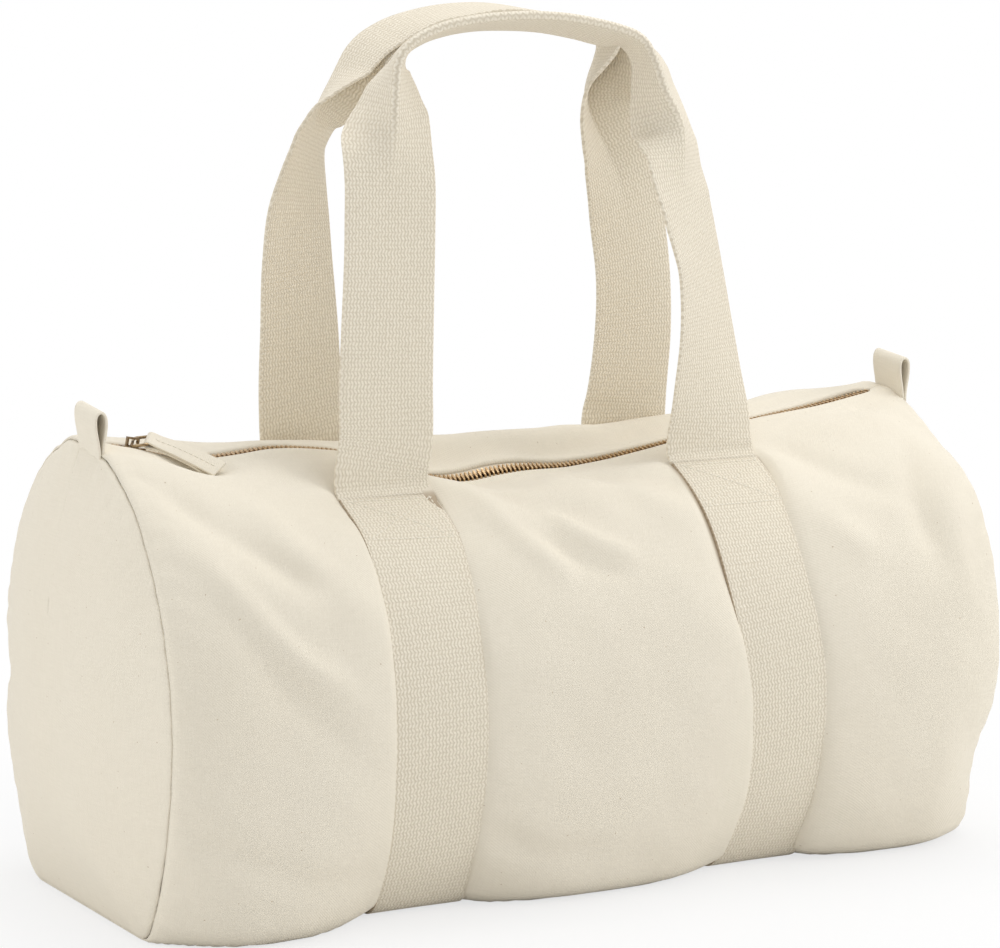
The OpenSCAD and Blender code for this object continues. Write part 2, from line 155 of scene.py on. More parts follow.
# Canvas cloth. Undyed plain-weave cotton of about 400 g per square metre, with the brown seed
# flecks that unbleached cotton keeps. The panel and the ends are cut from it, and so are the
# tab loops and the zip's pull. Each piece carries a map in metres along its own two threads.
def plain_weave():
    """Threads that pass over and under each other one by one, with thick and thin yarns among them."""
    sizes, gives = {"Thread pitch": 0.0007}, ["Height", "Yarn tone"]
    tree, takes, gives = start_group("plain weave", "Cloth map", sizes, gives)
    parts = wire(tree, "ShaderNodeSeparateXYZ", {0: takes["Cloth map"]}).outputs
    threads = []
    for part in (parts[0], parts[1]):
        count = sums(tree, "DIVIDE", part, takes["Thread pitch"])
        threads.append(sums(tree, "SINE", sums(tree, "MULTIPLY", count, math.pi)))
    knots = sums(tree, "MULTIPLY", *threads)
    slub_a = stretched_noise(tree, takes["Cloth map"], 110, 1300)
    slub_b = stretched_noise(tree, takes["Cloth map"], 1300, 110)
    slubs = sums(tree, "ADD", slub_a, slub_b)
    height = sums(tree, "MULTIPLY_ADD", knots, 0.5, sums(tree, "MULTIPLY", slubs, 0.4))
    tree.links.new(height, gives["Height"])
    tree.links.new(sums(tree, "SUBTRACT", slubs, 1.0), gives["Yarn tone"])
    return tree


def seed_flecks():
    """Scattered specks of seed husk, each shorter than a millimetre."""
    tree, takes, gives = start_group("seed flecks", "Cloth map", {"Spacing": 0.013}, ["Fleck"])
    spread = in_steps_of(tree, takes["Cloth map"], takes["Spacing"])
    wobble = noise(tree, spread, 22.0, 1.0)["Color"]
    nudge = wire(tree, "ShaderNodeVectorMath", {0: wobble, 1: (0.06, 0.06, 0.0)}, operation="MULTIPLY")
    place = wire(tree, "ShaderNodeVectorMath", {0: spread, 1: nudge.outputs[0]}, operation="ADD")
    feeds = {"Vector": place.outputs[0], "Scale": 1.0}
    cells = wire(tree, "ShaderNodeTexVoronoi", feeds, voronoi_dimensions="2D").outputs
    tone = wire(tree, "ShaderNodeSeparateColor", {0: cells["Color"]})
    size = sums(tree, "MULTIPLY_ADD", tone.outputs[0], 0.046, -0.014)
    inside = sums(tree, "SUBTRACT", size, cells["Distance"])
    tree.links.new(sums(tree, "MULTIPLY", inside, 60.0, clamp=True), gives["Fleck"])
    return tree


WEAVE = plain_weave()
FLECKS = seed_flecks()


def canvas_material():
    made, tree, shader = start_material("natural canvas")
    place = cloth_map(tree)
    weave = wire(tree, "ShaderNodeGroup", {"Cloth map": place}, node_tree=WEAVE).outputs
    patches = noise(tree, place, 11.0, 2.0)[0]
    base = mixed(tree, patches, (0.815, 0.758, 0.642, 1), (0.795, 0.733, 0.610, 1))
    yarns = ranged(tree, weave["Yarn tone"], -0.35, 0.35, 0.0, 1.0)
    toned = mixed(tree, yarns, (0.978, 0.975, 0.968, 1), (1.012, 1.012, 1.012, 1))
    colour = mixed(tree, 1.0, base, toned, blend="MULTIPLY")
    flecks = wire(tree, "ShaderNodeGroup", {"Cloth map": place}, node_tree=FLECKS).outputs["Fleck"]
    colour = mixed(tree, sums(tree, "MULTIPLY", flecks, 0.62), colour, (0.36, 0.24, 0.13, 1))
    # Painted shade: the canvas is darkened where it is marked as lying in a crease beside the bands.
    cloth_finish(tree, shader, with_crease_shade(tree, colour), weave["Height"], (0.55, 0.00016), (0.88, 0.28, 0.10))
    return made


CANVAS = canvas_material()


# Wrap panel. One length of canvas goes from one edge of the zip, over the front, under the bag
# and up the back to the other edge. The bag is filled, so the cloth swells between the bands
# and the end seams, dips along the zip, and lies flat where the bag stands.
def eased(u):
    u = np.clip(u, 0, 1)
    return u * u * (3 - 2 * u)


def hill(u):
    return np.exp(-np.square(u))


def softly_under(z, ceiling, soft):
    """The lower of two heights, with a round transition."""
    over = z - ceiling
    rounded = z - np.square(over + soft) / (4 * soft)
    return np.where(over <= -soft, z, np.where(over >= soft, ceiling, rounded))


def quarter_round(u):
    """Rises from 0 to 1 as u does, like a quarter of a circle."""
    return np.sqrt(1 - np.square(np.clip(1 - u, 0, 1)))


def unit(rows):
    return rows / np.maximum(np.linalg.norm(rows, axis=-1, keepdims=True), 1e-12)


def run_length(points):
    """How far along its run each point lies."""
    return np.concatenate([[0], np.cumsum(np.linalg.norm(np.diff(points, axis=0), axis=1))])


def rows_at(s, run, rows):
    """Rows of values, taken at the distances s along their run."""
    return np.stack([np.interp(s, run, column) for column in rows.T], -1)


def soft_curve(knots, blur):
    """A smooth function through about the given places."""
    places, values = np.array(knots).T
    fine = np.linspace(places[0], places[-1], 801)
    step = fine[1] - fine[0]
    reach = int(3 * blur / step)
    kernel = hill(np.arange(-reach, reach + 1) * step / blur)
    line = np.interp(fine, places, values)
    ahead = line[-1] + (line[-1] - line[-2]) * np.arange(1, reach + 1)
    behind = line[0] - (line[1] - line[0]) * np.arange(reach, 0, -1)
    smooth = np.convolve(np.concatenate([behind, line, ahead]), kernel / kernel.sum(), mode="valid")
    return lambda x: np.interp(x, fine, smooth)


# Height of the cloth beside the zip: it stays high at the left end and dips past the left band.
zip_line = soft_curve(
    [(-0.228, 0.2250), (-0.2080, 0.2212), (-0.192, 0.2168), (-0.179, 0.2140), (-0.166, 0.2130),
     (-0.150, 0.2142), (-0.136, 0.2158), (-0.121, 0.2152), (-0.097, 0.2122), (-0.080, 0.2070),
     (-0.060, 0.1995), (-0.046, 0.1955), (-0.036, 0.1938), (-0.023, 0.1942), (-0.012, 0.1962),
     (0.005, 0.1973), (0.028, 0.1960), (0.052, 0.1978), (0.075, 0.2012), (0.091, 0.2038),
     (0.141, 0.2122), (0.178, 0.2167), (0.214, 0.2224), (0.228, 0.2247)], 0.006)
# Distance of each band's middle from the middle of the bag, by its height: the bands wander a little.
left_band_place = soft_curve(
    [(-0.01, 0.0918), (0.02, 0.0922), (0.064, 0.0948), (0.116, 0.0965), (0.165, 0.0965), (0.196, 0.0935),
     (0.23, 0.0915)], 0.012)
right_band_place = soft_curve(
    [(-0.01, 0.0975), (0.01, 0.0980), (0.044, 0.1000), (0.100, 0.0965), (0.150, 0.0900), (0.200, 0.0900),
     (0.23, 0.0905)], 0.012)


def zip_tilt(x):
    """How steeply the zip leans to the front: most where the canvas behind it stands highest, and
    a little to the back past the right band, where the front edge covers it."""
    return 0.06 + 0.34 * hill((x + 0.012) / 0.040) - 0.17 * hill((x - 0.132) / 0.040)


def end_shift(x, z):
    """How far the top of the right end is drawn in, which the left end is not."""
    return -0.0040 * eased((x - 0.170) / 0.058) * eased((z - 0.170) / 0.050)


def band_place(x, z):
    return np.where(x < 0, left_band_place(z), right_band_place(z))


def crest_lift(x, y):
    """Extra height of the canvas behind the zip."""
    lift = 0.0018 * eased((x + 0.228) / 0.060) * (1 - eased((x + 0.108) / 0.050))
    lift = lift + 0.0032 * eased((x - 0.060) / 0.060) * (1 - eased((x - 0.170) / 0.058))
    under_band = 1 - eased((np.abs(np.abs(x) - BAND_MIDDLE) - 0.026) / 0.012)
    reach = 0.055 - 0.037 * under_band
    return np.where(y > 0, lift * (1 - eased((np.abs(y) - 0.026) / reach)), 0)


def front_sag(x, y):
    """How much lower the canvas lies between the zip and the front handle's seams."""
    left = 0.0092 * hill((x + 0.104) / 0.066)
    right = 0.0040 * hill((x - 0.090) / 0.050)
    return np.where(y < 0, (left + right) * hill((y + 0.048) / 0.027), 0)


def panel_section(x, a):
    """Point of the filled panel at x, an angle a round from the top towards the front."""
    x, a = np.broadcast_arrays(np.asarray(x, float), np.asarray(a, float))
    drawn = eased((np.abs(x) - 0.186) / 0.042)
    on_left, on_right = np.where(x < 0, drawn, 0), np.where(x > 0, drawn, 0)
    crown = CROWN + CROWN_RISE * eased((np.abs(x) - 0.1226) / 0.1054)
    # Below the waist the section is drawn longer than the bag is high, and the floor cuts it flat.
    reach = np.where(np.cos(a) > 0, crown - WAIST, UNDER_REACH)
    inner = 1 - np.abs(x / INNER_EDGE) ** 2.6
    outer = 1 - np.abs(2 * (np.abs(x) - OUTER_EDGE) / (HALF_LENGTH - OUTER_EDGE) - 1) ** 2.6
    at_ends = np.where(x < 0, 0.72, 0.42) * np.clip(outer, 0, 1)
    slack = np.where(np.abs(x) < INNER_EDGE, 0.52 * inner, at_ends)
    slack = np.where((np.abs(x) > INNER_EDGE) & (np.abs(x) < OUTER_EDGE), 0, slack)
    power = np.where(np.cos(a) < 0, 1 - slack, 1)
    y = -(HALF_WIDTH - 0.0062 * drawn) * np.sign(np.sin(a)) * np.abs(np.sin(a)) ** power
    z = WAIST + reach * np.cos(a)
    # Hollows in the ends, then the lower front, the fuller crest and the lift under the bands.
    y = y * (1 - 0.080 * hill((z - 0.104) / 0.015) * on_left * (y > 0))
    y = y * (1 - 0.105 * hill((z - 0.042) / 0.026) * on_right)
    z = z - 0.0095 * hill((np.abs(y) - 0.046) / 0.026) * on_right * (np.cos(a) > 0)
    z = z - (front_sag(x, y) - crest_lift(x, y)) * (np.cos(a) > 0)
    lift = 0.0023 * (1 - eased((np.abs(np.abs(x) - band_place(x, 0.0)) - 0.0256) / 0.014))
    z = -softly_under(-z, -lift, 0.008)
    # The front edge stays under a ceiling that follows the zip, with dents where the pull lies.
    near_top = (np.cos(a) > 0) & (y < 0)
    ceiling = zip_line(x) + 0.02 * np.abs(y) - zip_tilt(x) * np.minimum(np.abs(y), 0.010)
    ceiling = ceiling - 0.0075 * hill((x + 0.180) / 0.024) * hill((y + 0.026) / 0.014)
    ceiling = ceiling - 0.0050 * hill((x - 0.201) / 0.020) * hill((y + 0.024) / 0.012)
    z = np.where(near_top, softly_under(z, ceiling, 0.0060), z)
    start, over = np.where(y < 0, 0.0060, 0.0100), np.where(y < 0, 0.009, 0.020)
    share = np.where(np.cos(a) > 0, 1 - eased((np.abs(y) - start) / over), 0)
    return y, z * (1 - share) + (zip_line(x) + zip_tilt(x) * y) * share


def swelling(x, a, z):
    """How far the filled cloth stands proud of the girth that the bands and end seams hold."""
    middle, beside = band_place(x, z), 0.0255
    inner = np.clip(np.abs(x) / (middle - beside), 0, 1)
    outer = np.clip((np.abs(x) - middle - beside) / (HALF_LENGTH - middle - beside), 0, 1)
    between = 0.0062 * (1 - inner**7)
    ends = 0.0064 * (1 - np.abs(2 * outer - 1) ** 6)
    rounds = np.clip(np.abs(np.sin(a)) * 1.25 - 0.2, 0, 1)
    return np.where(np.abs(x) < middle, between, ends) * rounds


# Soft folds: start and end on the cloth (x, and metres round from the front edge of the zip),
# then the half width and the height, all in metres.
PANEL_FOLDS = [
    (-0.052, 0.052, -0.026, 0.100, 0.0060, 0.0018),
    (-0.042, 0.050, 0.000, 0.074, 0.0070, -0.0018),
    (-0.020, 0.072, 0.012, 0.096, 0.0042, 0.0022),
    (-0.028, 0.084, 0.006, 0.106, 0.0045, -0.0014),
    (0.012, 0.040, 0.060, 0.056, 0.0085, -0.0022),
    (0.030, 0.062, 0.066, 0.078, 0.0090, 0.0016),
    (-0.212, 0.050, -0.150, 0.104, 0.0085, -0.0026),
    (-0.206, 0.092, -0.150, 0.148, 0.0070, 0.0024),
    (-0.200, 0.112, -0.150, 0.170, 0.0080, -0.0016),
    (-0.172, 0.060, -0.130, 0.116, 0.0100, 0.0018),
    (0.118, 0.046, 0.145, 0.110, 0.0090, 0.0018),
    (0.130, 0.040, 0.175, 0.086, 0.0080, -0.0016),
    (0.196, 0.060, 0.188, 0.120, 0.0090, -0.0026),
    (0.215, 0.070, 0.200, 0.130, 0.0080, 0.0014),
    (-0.060, 0.222, -0.010, 0.236, 0.0080, -0.0014),
    (-0.215, 0.216, -0.140, 0.240, 0.0080, -0.0018),
]
# They lie on the front and, turned end for end, on the back, by these shares of their height.
FRONT_FOLDS, REAR_FOLDS = 1.5, 0.8


def folds_on(u, v, folds):
    total = np.zeros_like(u)
    for x0, s0, x1, s1, width, height in folds:
        run = np.array([x1 - x0, s1 - s0])
        length = np.linalg.norm(run)
        run = run / length
        along = ((u - x0) * run[0] + (v - s0) * run[1]) / length
        aside = -(u - x0) * run[1] + (v - s0) * run[0]
        bow = 0.10 * length * np.sin(np.pi * np.clip(along, 0, 1))
        ends = eased((along + 0.3) / 0.5) * eased((1.3 - along) / 0.5)
        total += height * ends * hill((aside - bow) / width)
    return total


def waves(u, v, seed, length):
    """Gentle unevenness of a filled bag, from a few sines of about the same wavelength."""
    rng, count = np.random.default_rng(seed), 7
    total = np.zeros_like(u)
    for _ in range(count):
        turn = rng.uniform(0, 2 * np.pi)
        k = 2 * np.pi / (length * rng.uniform(0.7, 1.5))
        total += np.sin(k * (u * np.cos(turn) + v * np.sin(turn)) + rng.uniform(0, 2 * np.pi))
    return total / count


def sheet_mesh(name, points, places, loop=False):
    """Mesh of quads through a grid of points, with the cloth map at each."""
    rows, cols = points.shape[:2]
    spans = cols if loop else cols - 1
    numbers = np.arange(rows * cols).reshape(rows, cols)
    faces, corners = [], []
    for j in range(spans):
        k = (j + 1) % cols
        faces.append(np.stack([numbers[:-1, j], numbers[1:, j], numbers[1:, k], numbers[:-1, k]], 1))
        wide = places[:, k] if k else places[:, -1] + (places[:, -1] - places[:, -2])
        corners.append(np.stack([places[:-1, j], places[1:, j], wide[1:], wide[:-1]], 1))
    faces = np.concatenate(faces)
    mesh = bpy.data.meshes.new(name)
    mesh.from_pydata(points.reshape(-1, 3).tolist(), [], faces.tolist())
    cloth = mesh.uv_layers.new(name="cloth")
    cloth.data.foreach_set("uv", np.concatenate(corners).reshape(-1).astype(np.float32))
    mesh.polygons.foreach_set("use_smooth", np.ones(len(faces), bool))
    mesh.update()
    return mesh


def mark_crease_shade(mesh, values):
    """Marks how deep in a crease each corner lies, for the cloth materials to darken with painted shade."""
    mesh.attributes.new("crease", "FLOAT", "POINT").data.foreach_set("value", values.astype(np.float32))


def new_object(name, data):
    made = bpy.data.objects.new(name, data)
    bpy.context.scene.collection.objects.link(made)
    return made


def add_piece(name, mesh, material):
    mesh.materials.clear()
    mesh.materials.append(material)
    return new_object(name, mesh)


def mesh_of(helper, name):
    """The plain mesh that an object's modifiers or its curve make."""
    bpy.context.view_layer.update()
    graph = bpy.context.evaluated_depsgraph_get()
    mesh = bpy.data.meshes.new_from_object(helper.evaluated_get(graph))
    mesh.name = name
    return mesh


def thicken(piece, thickness):
    """Gives a sheet a wall on its outer side, applied, so that the plain mesh rides on its body."""
    walls = piece.modifiers.new("wall", "SOLIDIFY")
    walls.thickness = thickness
    walls.offset = -1.0
    walls.use_quality_normals = True
    mesh = mesh_of(piece, piece.name)
    piece.modifiers.clear()
    piece.data = mesh


def grid_normals(points):
    return unit(np.cross(np.gradient(points, axis=1), np.gradient(points, axis=0)))


def panel_stations():
    """Places along the bag of the panel's columns, closest at the band edges and the end seams."""
    half = [0.0]
    while half[-1] < HALF_LENGTH:
        x = half[-1]
        near = min(abs(x - 0.0680), abs(x - 0.1205), abs(x - HALF_LENGTH))
        half.append(x + (0.0013 if near < 0.0085 else 0.0030))
    half = np.array(half) * HALF_LENGTH / half[-1]
    return np.concatenate([-half[:0:-1], half])


HEM_STEPS = np.array([0, 0.0004, 0.0009, 0.0015, 0.0024, 0.0040])
HEM_END, PANEL_ROWS = 0.0062, 232


def panel_rows(stations):
    """Points of the undisturbed panel, how far round each is, and its angle."""
    points, rounds, angles = [], [], []
    for x in stations:
        closed = eased((HALF_LENGTH - abs(x) - 0.007) / 0.007)
        start = math.asin((0.0002 + 0.0052 * closed) / HALF_WIDTH)
        end = 2 * np.pi - start - math.asin(0.0014 * closed / HALF_WIDTH)
        a = np.linspace(start, end, 2400)
        section = np.stack(panel_section(x, a), 1)
        step = run_length(section)
        inner = np.linspace(HEM_END, step[-1] - HEM_END, PANEL_ROWS)
        s = np.concatenate([HEM_STEPS, inner, step[-1] - HEM_STEPS[::-1]])
        points.append(np.insert(rows_at(s, step, section), 0, x, axis=1))
        angles.append(np.interp(s, step, a))
        rounds.append(s)
    return np.array(points), np.array(rounds), np.array(angles)


def filled_panel():
    """Points of the filled panel, its cloth map, and how deep in a crease each point lies, for painted
    shade.
    """
    points, rounds, angles = panel_rows(panel_stations())
    normals = grid_normals(points)
    front_row = 60
    if normals[len(points) // 2, front_row, 1] > 0:
        normals = -normals
    u, z, total = points[..., 0], points[..., 2], rounds[:, -1:]
    nearest = np.minimum(rounds, total - rounds)
    beside = np.abs(np.abs(u) - band_place(u, z)) - WEBBING_WIDTH / 2
    hold = eased(beside / 0.0060)
    near_zip = eased((nearest - 0.004) / 0.030)
    standing = eased(z / 0.010)
    proud = swelling(u, angles, z)
    proud += FRONT_FOLDS * folds_on(u, rounds, PANEL_FOLDS) * near_zip * hold
    proud += folds_on(-u, total - rounds, PANEL_FOLDS) * near_zip * hold * REAR_FOLDS
    proud += 0.0016 * waves(u, rounds, 11, 0.085) * hold * near_zip
    proud += 0.0008 * waves(u, rounds, 5, 0.034) * hold * near_zip
    # Gathers that the end seams draw in, and the flat stretches under the bands.
    seam = HALF_LENGTH - np.abs(u)
    gathers = np.sin(2 * np.pi * rounds / 0.0125 + 2.2 * waves(0 * u, rounds, 3, 0.05))
    drawn_in = 0.00040 * (0.6 + 0.8 * waves(0 * u, rounds, 9, 0.08)) * hill((seam - 0.005) / 0.008)
    proud += gathers * drawn_in * near_zip
    under_band = (1 - hold) * eased((nearest - 0.038) / 0.010)
    proud = proud * standing * (1 - under_band)
    points = points + normals * proud[..., None]
    # The canvas comes up over the bands' edges, low down, more so at the right band.
    right_inner = (u > 0) & (u < band_place(u, z))
    covered = np.where(right_inner, 1 - eased((z - 0.085) / 0.085), 1 - eased((z - 0.172) / 0.034))
    tucked = eased(beside / 0.0020) * (1 - eased((beside - 0.0020) / 0.0180)) * standing * covered
    towards_band = np.sign(band_place(u, z) - np.abs(u)) * np.sign(u)
    points[..., 0] += towards_band * np.where(u > 0, 0.0075, 0.0045) * tucked
    roll, hem = 1 - quarter_round(seam / ROLL_REACH), 1 - quarter_round(nearest / 0.0014)
    points = points - normals * (ROLL_DEPTH * (roll + hem))[..., None]
    points[..., 2] = np.maximum(points[..., 2], CANVAS_THICK)
    points[..., 0] += end_shift(points[..., 0], points[..., 2])
    # Painted shade: the canvas is marked to be darkened right beside the bands' edges, where a contact
    # shadow lies.
    crease = hill(np.maximum(beside, 0) / 0.0016) * eased((nearest - 0.040) / 0.006) * standing
    return points, u, rounds, crease


panel_points, panel_u, panel_v, panel_crease_shade = filled_panel()
panel_mesh = sheet_mesh("wrap_panel", panel_points, np.stack([panel_u, panel_v], 2))
mark_crease_shade(panel_mesh, panel_crease_shade.reshape(-1))
wrap_panel = add_piece("wrap_panel", panel_mesh, CANVAS)
thicken(wrap_panel, CANVAS_THICK)
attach(wrap_panel, "root")
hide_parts("body_panel")


# End panels. Each is one piece of canvas cut to the outline of the end seam, domed by what is in
# the bag, and drawn in along the seam where it is sewn to the wrap panel.
def end_panel(name, side, seed):
    rim = panel_points[0 if side < 0 else -1]
    spokes, arc = rim[:, 1:] - END_MIDDLE, run_length(rim[:, 1:])
    gathers = np.sin(2 * np.pi * arc / 0.0130 + 2 * waves(arc, arc, seed + 2, 0.06))
    puckers = 0.0003 * gathers * (1 + waves(arc, arc, seed + 4, 0.09))
    dome = 0.0198 if side < 0 else 0.0150
    rows = []
    for share in np.concatenate([np.linspace(1, 0.93, 12), np.linspace(0.91, 0.03, 42)]):
        y, z = (END_MIDDLE + spokes * share).T
        edge = np.linalg.norm(spokes, axis=1) * (1 - share)
        uneven = 0.0022 * waves(y, z, seed, 0.10) + 0.0010 * waves(y, z, seed + 1, 0.045)
        out = ROLL_DEPTH * quarter_round(edge / ROLL_REACH) + dome * (1 - share**2.6)
        out = out + uneven * eased(edge / 0.025) + puckers * hill((edge - 0.006) / 0.007)
        x = side * (HALF_LENGTH + 0.0003 + out) + end_shift(side * HALF_LENGTH, z)
        rows.append(np.stack([x, y, z], 1))
    rows = np.array(rows)
    mesh = sheet_mesh(name, rows, rows[..., 1:3])
    piece = add_piece(name, mesh, CANVAS)
    work = bmesh.new()
    work.from_mesh(mesh)
    work.verts.ensure_lookup_table()
    innermost = work.verts[len(work.verts) - len(rim):]
    hub = work.verts.new(Vector(rows[-1].mean(0)))
    for first, second in zip(innermost, innermost[1:]):
        work.faces.new((first, second, hub))
    bmesh.ops.remove_doubles(work, verts=work.verts, dist=0.0004)
    layer = work.loops.layers.uv["cloth"]
    for face in work.faces:
        face.smooth = True
        for loop in face.loops:
            loop[layer].uv = (loop.vert.co.y, loop.vert.co.z)
    bmesh.ops.recalc_face_normals(work, faces=work.faces)
    far = max(work.faces, key=lambda f: side * f.calc_center_median().x)
    if far.normal.x * side < 0:
        bmesh.ops.reverse_faces(work, faces=work.faces)
    work.to_mesh(mesh)
    work.free()
    thicken(piece, CANVAS_THICK)
    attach(piece, "root")
    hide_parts(("left" if side < 0 else "right") + "_end_panel")


end_panel("left_end", -1, 21)
end_panel("right_end", 1, 31)


# Webbing. Heavy undyed cotton, 50 mm wide and 2 mm thick. Its thick yarns show as grains about
# 2 mm long in columns, and the valleys between the columns zigzag from row to row. Strips of it
# are modelled whole, with their rounded edges.
def webbing_weave():
    sizes, gives = {"Yarn pitch": 0.0018, "Grain length": 0.0020}, ["Height", "Recess"]
    tree, takes, gives = start_group("webbing weave", "Cloth map", sizes, gives)
    parts = wire(tree, "ShaderNodeSeparateXYZ", {0: takes["Cloth map"]}).outputs
    sway = stretched_noise(tree, takes["Cloth map"], 160, 160)
    row = sums(tree, "DIVIDE", sums(tree, "MULTIPLY_ADD", sway, 0.0008, parts[1]), takes["Grain length"])
    column = sums(tree, "DIVIDE", sums(tree, "MULTIPLY_ADD", sway, 0.0005, parts[0]), takes["Yarn pitch"])
    column = sums(tree, "MULTIPLY_ADD", sums(tree, "PINGPONG", row, 1.0), 0.50, column)
    ridge, bead = (sums(tree, "ABSOLUTE", sums(tree, "SINE", sums(tree, "MULTIPLY", count, math.pi)))
                   for count in (column, row))
    grain = sums(tree, "MULTIPLY", ridge, sums(tree, "MULTIPLY_ADD", bead, 0.50, 0.50))
    uneven = stretched_noise(tree, takes["Cloth map"], 700, 600)
    valley = sums(tree, "MULTIPLY_ADD", uneven, 0.85, sums(tree, "SUBTRACT", 1.0, grain))
    raised = ranged(tree, valley, 0.40, 1.35, 1.0, 0.0, interpolation_type="SMOOTHSTEP")
    tree.links.new(raised, gives["Height"])
    # Painted shade: how deep each point lies between the grains, for the colour to darken, with some random
    # unevenness.
    tree.links.new(sums(tree, "SUBTRACT", 1.0, raised), gives["Recess"])
    return tree


WEBBING_WEAVE = webbing_weave()


def webbing_material():
    made, tree, shader = start_material("natural webbing")
    place = cloth_map(tree)
    weave = wire(tree, "ShaderNodeGroup", {"Cloth map": place}, node_tree=WEBBING_WEAVE).outputs
    patches = noise(tree, place, 30.0, 3.0)[0]
    base = mixed(tree, patches, (0.880, 0.815, 0.690, 1), (0.855, 0.788, 0.660, 1))
    # Painted shade: the colour is darker in the weave's recesses between the grains, and unevenly at
    # random.
    shade = mixed(tree, weave["Recess"], (1.0, 1.0, 1.0, 1), (0.80, 0.775, 0.73, 1))
    # Painted shade: darker again where the webbing is marked as lying in a crease, along the bands' edges.
    colour = with_crease_shade(tree, mixed(tree, 1.0, base, shade, blend="MULTIPLY"))
    cloth_finish(tree, shader, colour, weave["Height"], (0.6, 0.0004), (0.9, 0.22, 0.10))
    return made


WEBBING = webbing_material()
CREASE_RADIUS = 0.00125


def folded_place(width, fold, w, n):
    """Where points w across and n off a flat strip go when it is folded along its middle."""
    fine = np.linspace(-width / 2, width / 2, 401)
    angle = np.clip(fine / CREASE_RADIUS, -fold, fold)
    place_w = np.cumsum(np.cos(angle)) * (fine[1] - fine[0])
    place_n = np.cumsum(np.sin(angle)) * (fine[1] - fine[0])
    middle_w = np.interp(w, fine, place_w - np.interp(0, fine, place_w))
    middle_n = np.interp(w, fine, place_n - np.interp(0, fine, place_n))
    theta = np.interp(w, fine, angle)
    return middle_w - np.sin(theta) * n, middle_n + np.cos(theta) * n


def strip_mesh(name, middles, across, outward, fold=None, width=WEBBING_WIDTH, thick=WEBBING_THICK,
               wave=0.0, painted_edge_shade=False):
    """Strip through a run of middles, with its width and face directions at each, folded along its
    middle by an angle at each."""
    count = len(middles)
    fold = np.zeros(count) if fold is None else fold
    run = run_length(middles)
    half, lip = width / 2, thick * 0.42
    crease = np.linspace(-0.0024, 0.0024, 5) * min(1, half / 0.012)
    sides = np.linspace(crease[-1] * 1.65, half - lip, 8 if half > 0.012 else 4)
    spots = np.concatenate([-sides[::-1], crease, sides])
    turn = np.linspace(-np.pi / 2, np.pi / 2, 7)[1:-1]
    edge_w = lip * np.cos(turn)
    edge_n = thick / 2 * np.sin(turn)
    ring_w = np.concatenate([spots, half - lip + edge_w, spots[::-1], -half + lip - edge_w])
    face_n = np.full(len(spots), thick / 2)
    ring_n = np.concatenate([-face_n, edge_n, face_n, edge_n[::-1]])
    points = np.zeros((count, len(ring_w), 3))
    for i in range(count):
        w, n = folded_place(width, fold[i], ring_w, ring_n)
        n = n - wave * math.sin(run[i] / 0.017) * np.abs(ring_w) / half
        points[i] = middles[i] + np.outer(w, across[i]) - np.outer(n, outward[i])
    places = np.zeros((count, len(ring_w), 2))
    places[..., 0] = ring_w[None, :] + 0.1
    places[..., 1] = run[:, None]
    mesh = sheet_mesh(name, points, places, loop=True)
    work = bmesh.new()
    work.from_mesh(mesh)
    work.verts.ensure_lookup_table()
    for first in (0, (count - 1) * len(ring_w)):
        work.faces.new([work.verts[first + j] for j in range(len(ring_w))])
    bmesh.ops.triangulate(work, faces=[f for f in work.faces if len(f.verts) > 4])
    bmesh.ops.recalc_face_normals(work, faces=work.faces)
    work.to_mesh(mesh)
    work.free()
    mesh.polygons.foreach_set("use_smooth", np.ones(len(mesh.polygons), bool))
    # Painted shade: the strip's edges are marked to be darkened, as the shadow along a band's edge.
    if painted_edge_shade:
        mark_crease_shade(mesh, np.tile(np.abs(ring_w) > half - lip * 0.95, count))
    return mesh


# Girth bands. Each runs from the front handle's seam, down the front, under the bag and up the
# back to the rear handle's seam, sewn flat to the canvas. The canvas swells up to its edges.
# The handles are sewn on this far before and behind the zip.
HANDLE_OFF, BAND_STEP = 0.0462, 0.0024
FRONT_SEAM = math.asin(HANDLE_OFF / HALF_WIDTH)
REAR_SEAM = 2 * math.pi - FRONT_SEAM


def band_path(side):
    """Middles, width directions and face directions of a band, from the front seam to the rear one."""
    section = np.stack(panel_section(side * BAND_MIDDLE, np.linspace(FRONT_SEAM, REAR_SEAM, 900)), 1)
    step = run_length(section)
    y, z = rows_at(np.linspace(0, step[-1], int(step[-1] / BAND_STEP)), step, section).T
    slope_y, slope_z = np.gradient(y), np.gradient(z)
    size = np.hypot(slope_y, slope_z)
    y, z = y + BAND_OFF * slope_z / size, z - BAND_OFF * slope_y / size
    middles = np.stack([side * band_place(side, z), y, np.maximum(z, WEBBING_THICK / 2)], 1)
    outward = unit(np.stack([0 * y, slope_z, -slope_y], 1))
    return middles, unit(np.cross(unit(np.gradient(middles, axis=0)), outward)), outward


band_runs = []
for band_name, band_side in (("left_band", -1), ("right_band", 1)):
    band_runs.append(band_path(band_side))
    # The bands' edges carry painted shade.
    band_mesh = strip_mesh(band_name, *band_runs[-1], wave=0.00015, painted_edge_shade=True)
    band = add_piece(band_name, band_mesh, WEBBING)
    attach(band, "root")
    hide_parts(("left" if band_side < 0 else "right") + "_girth_band")


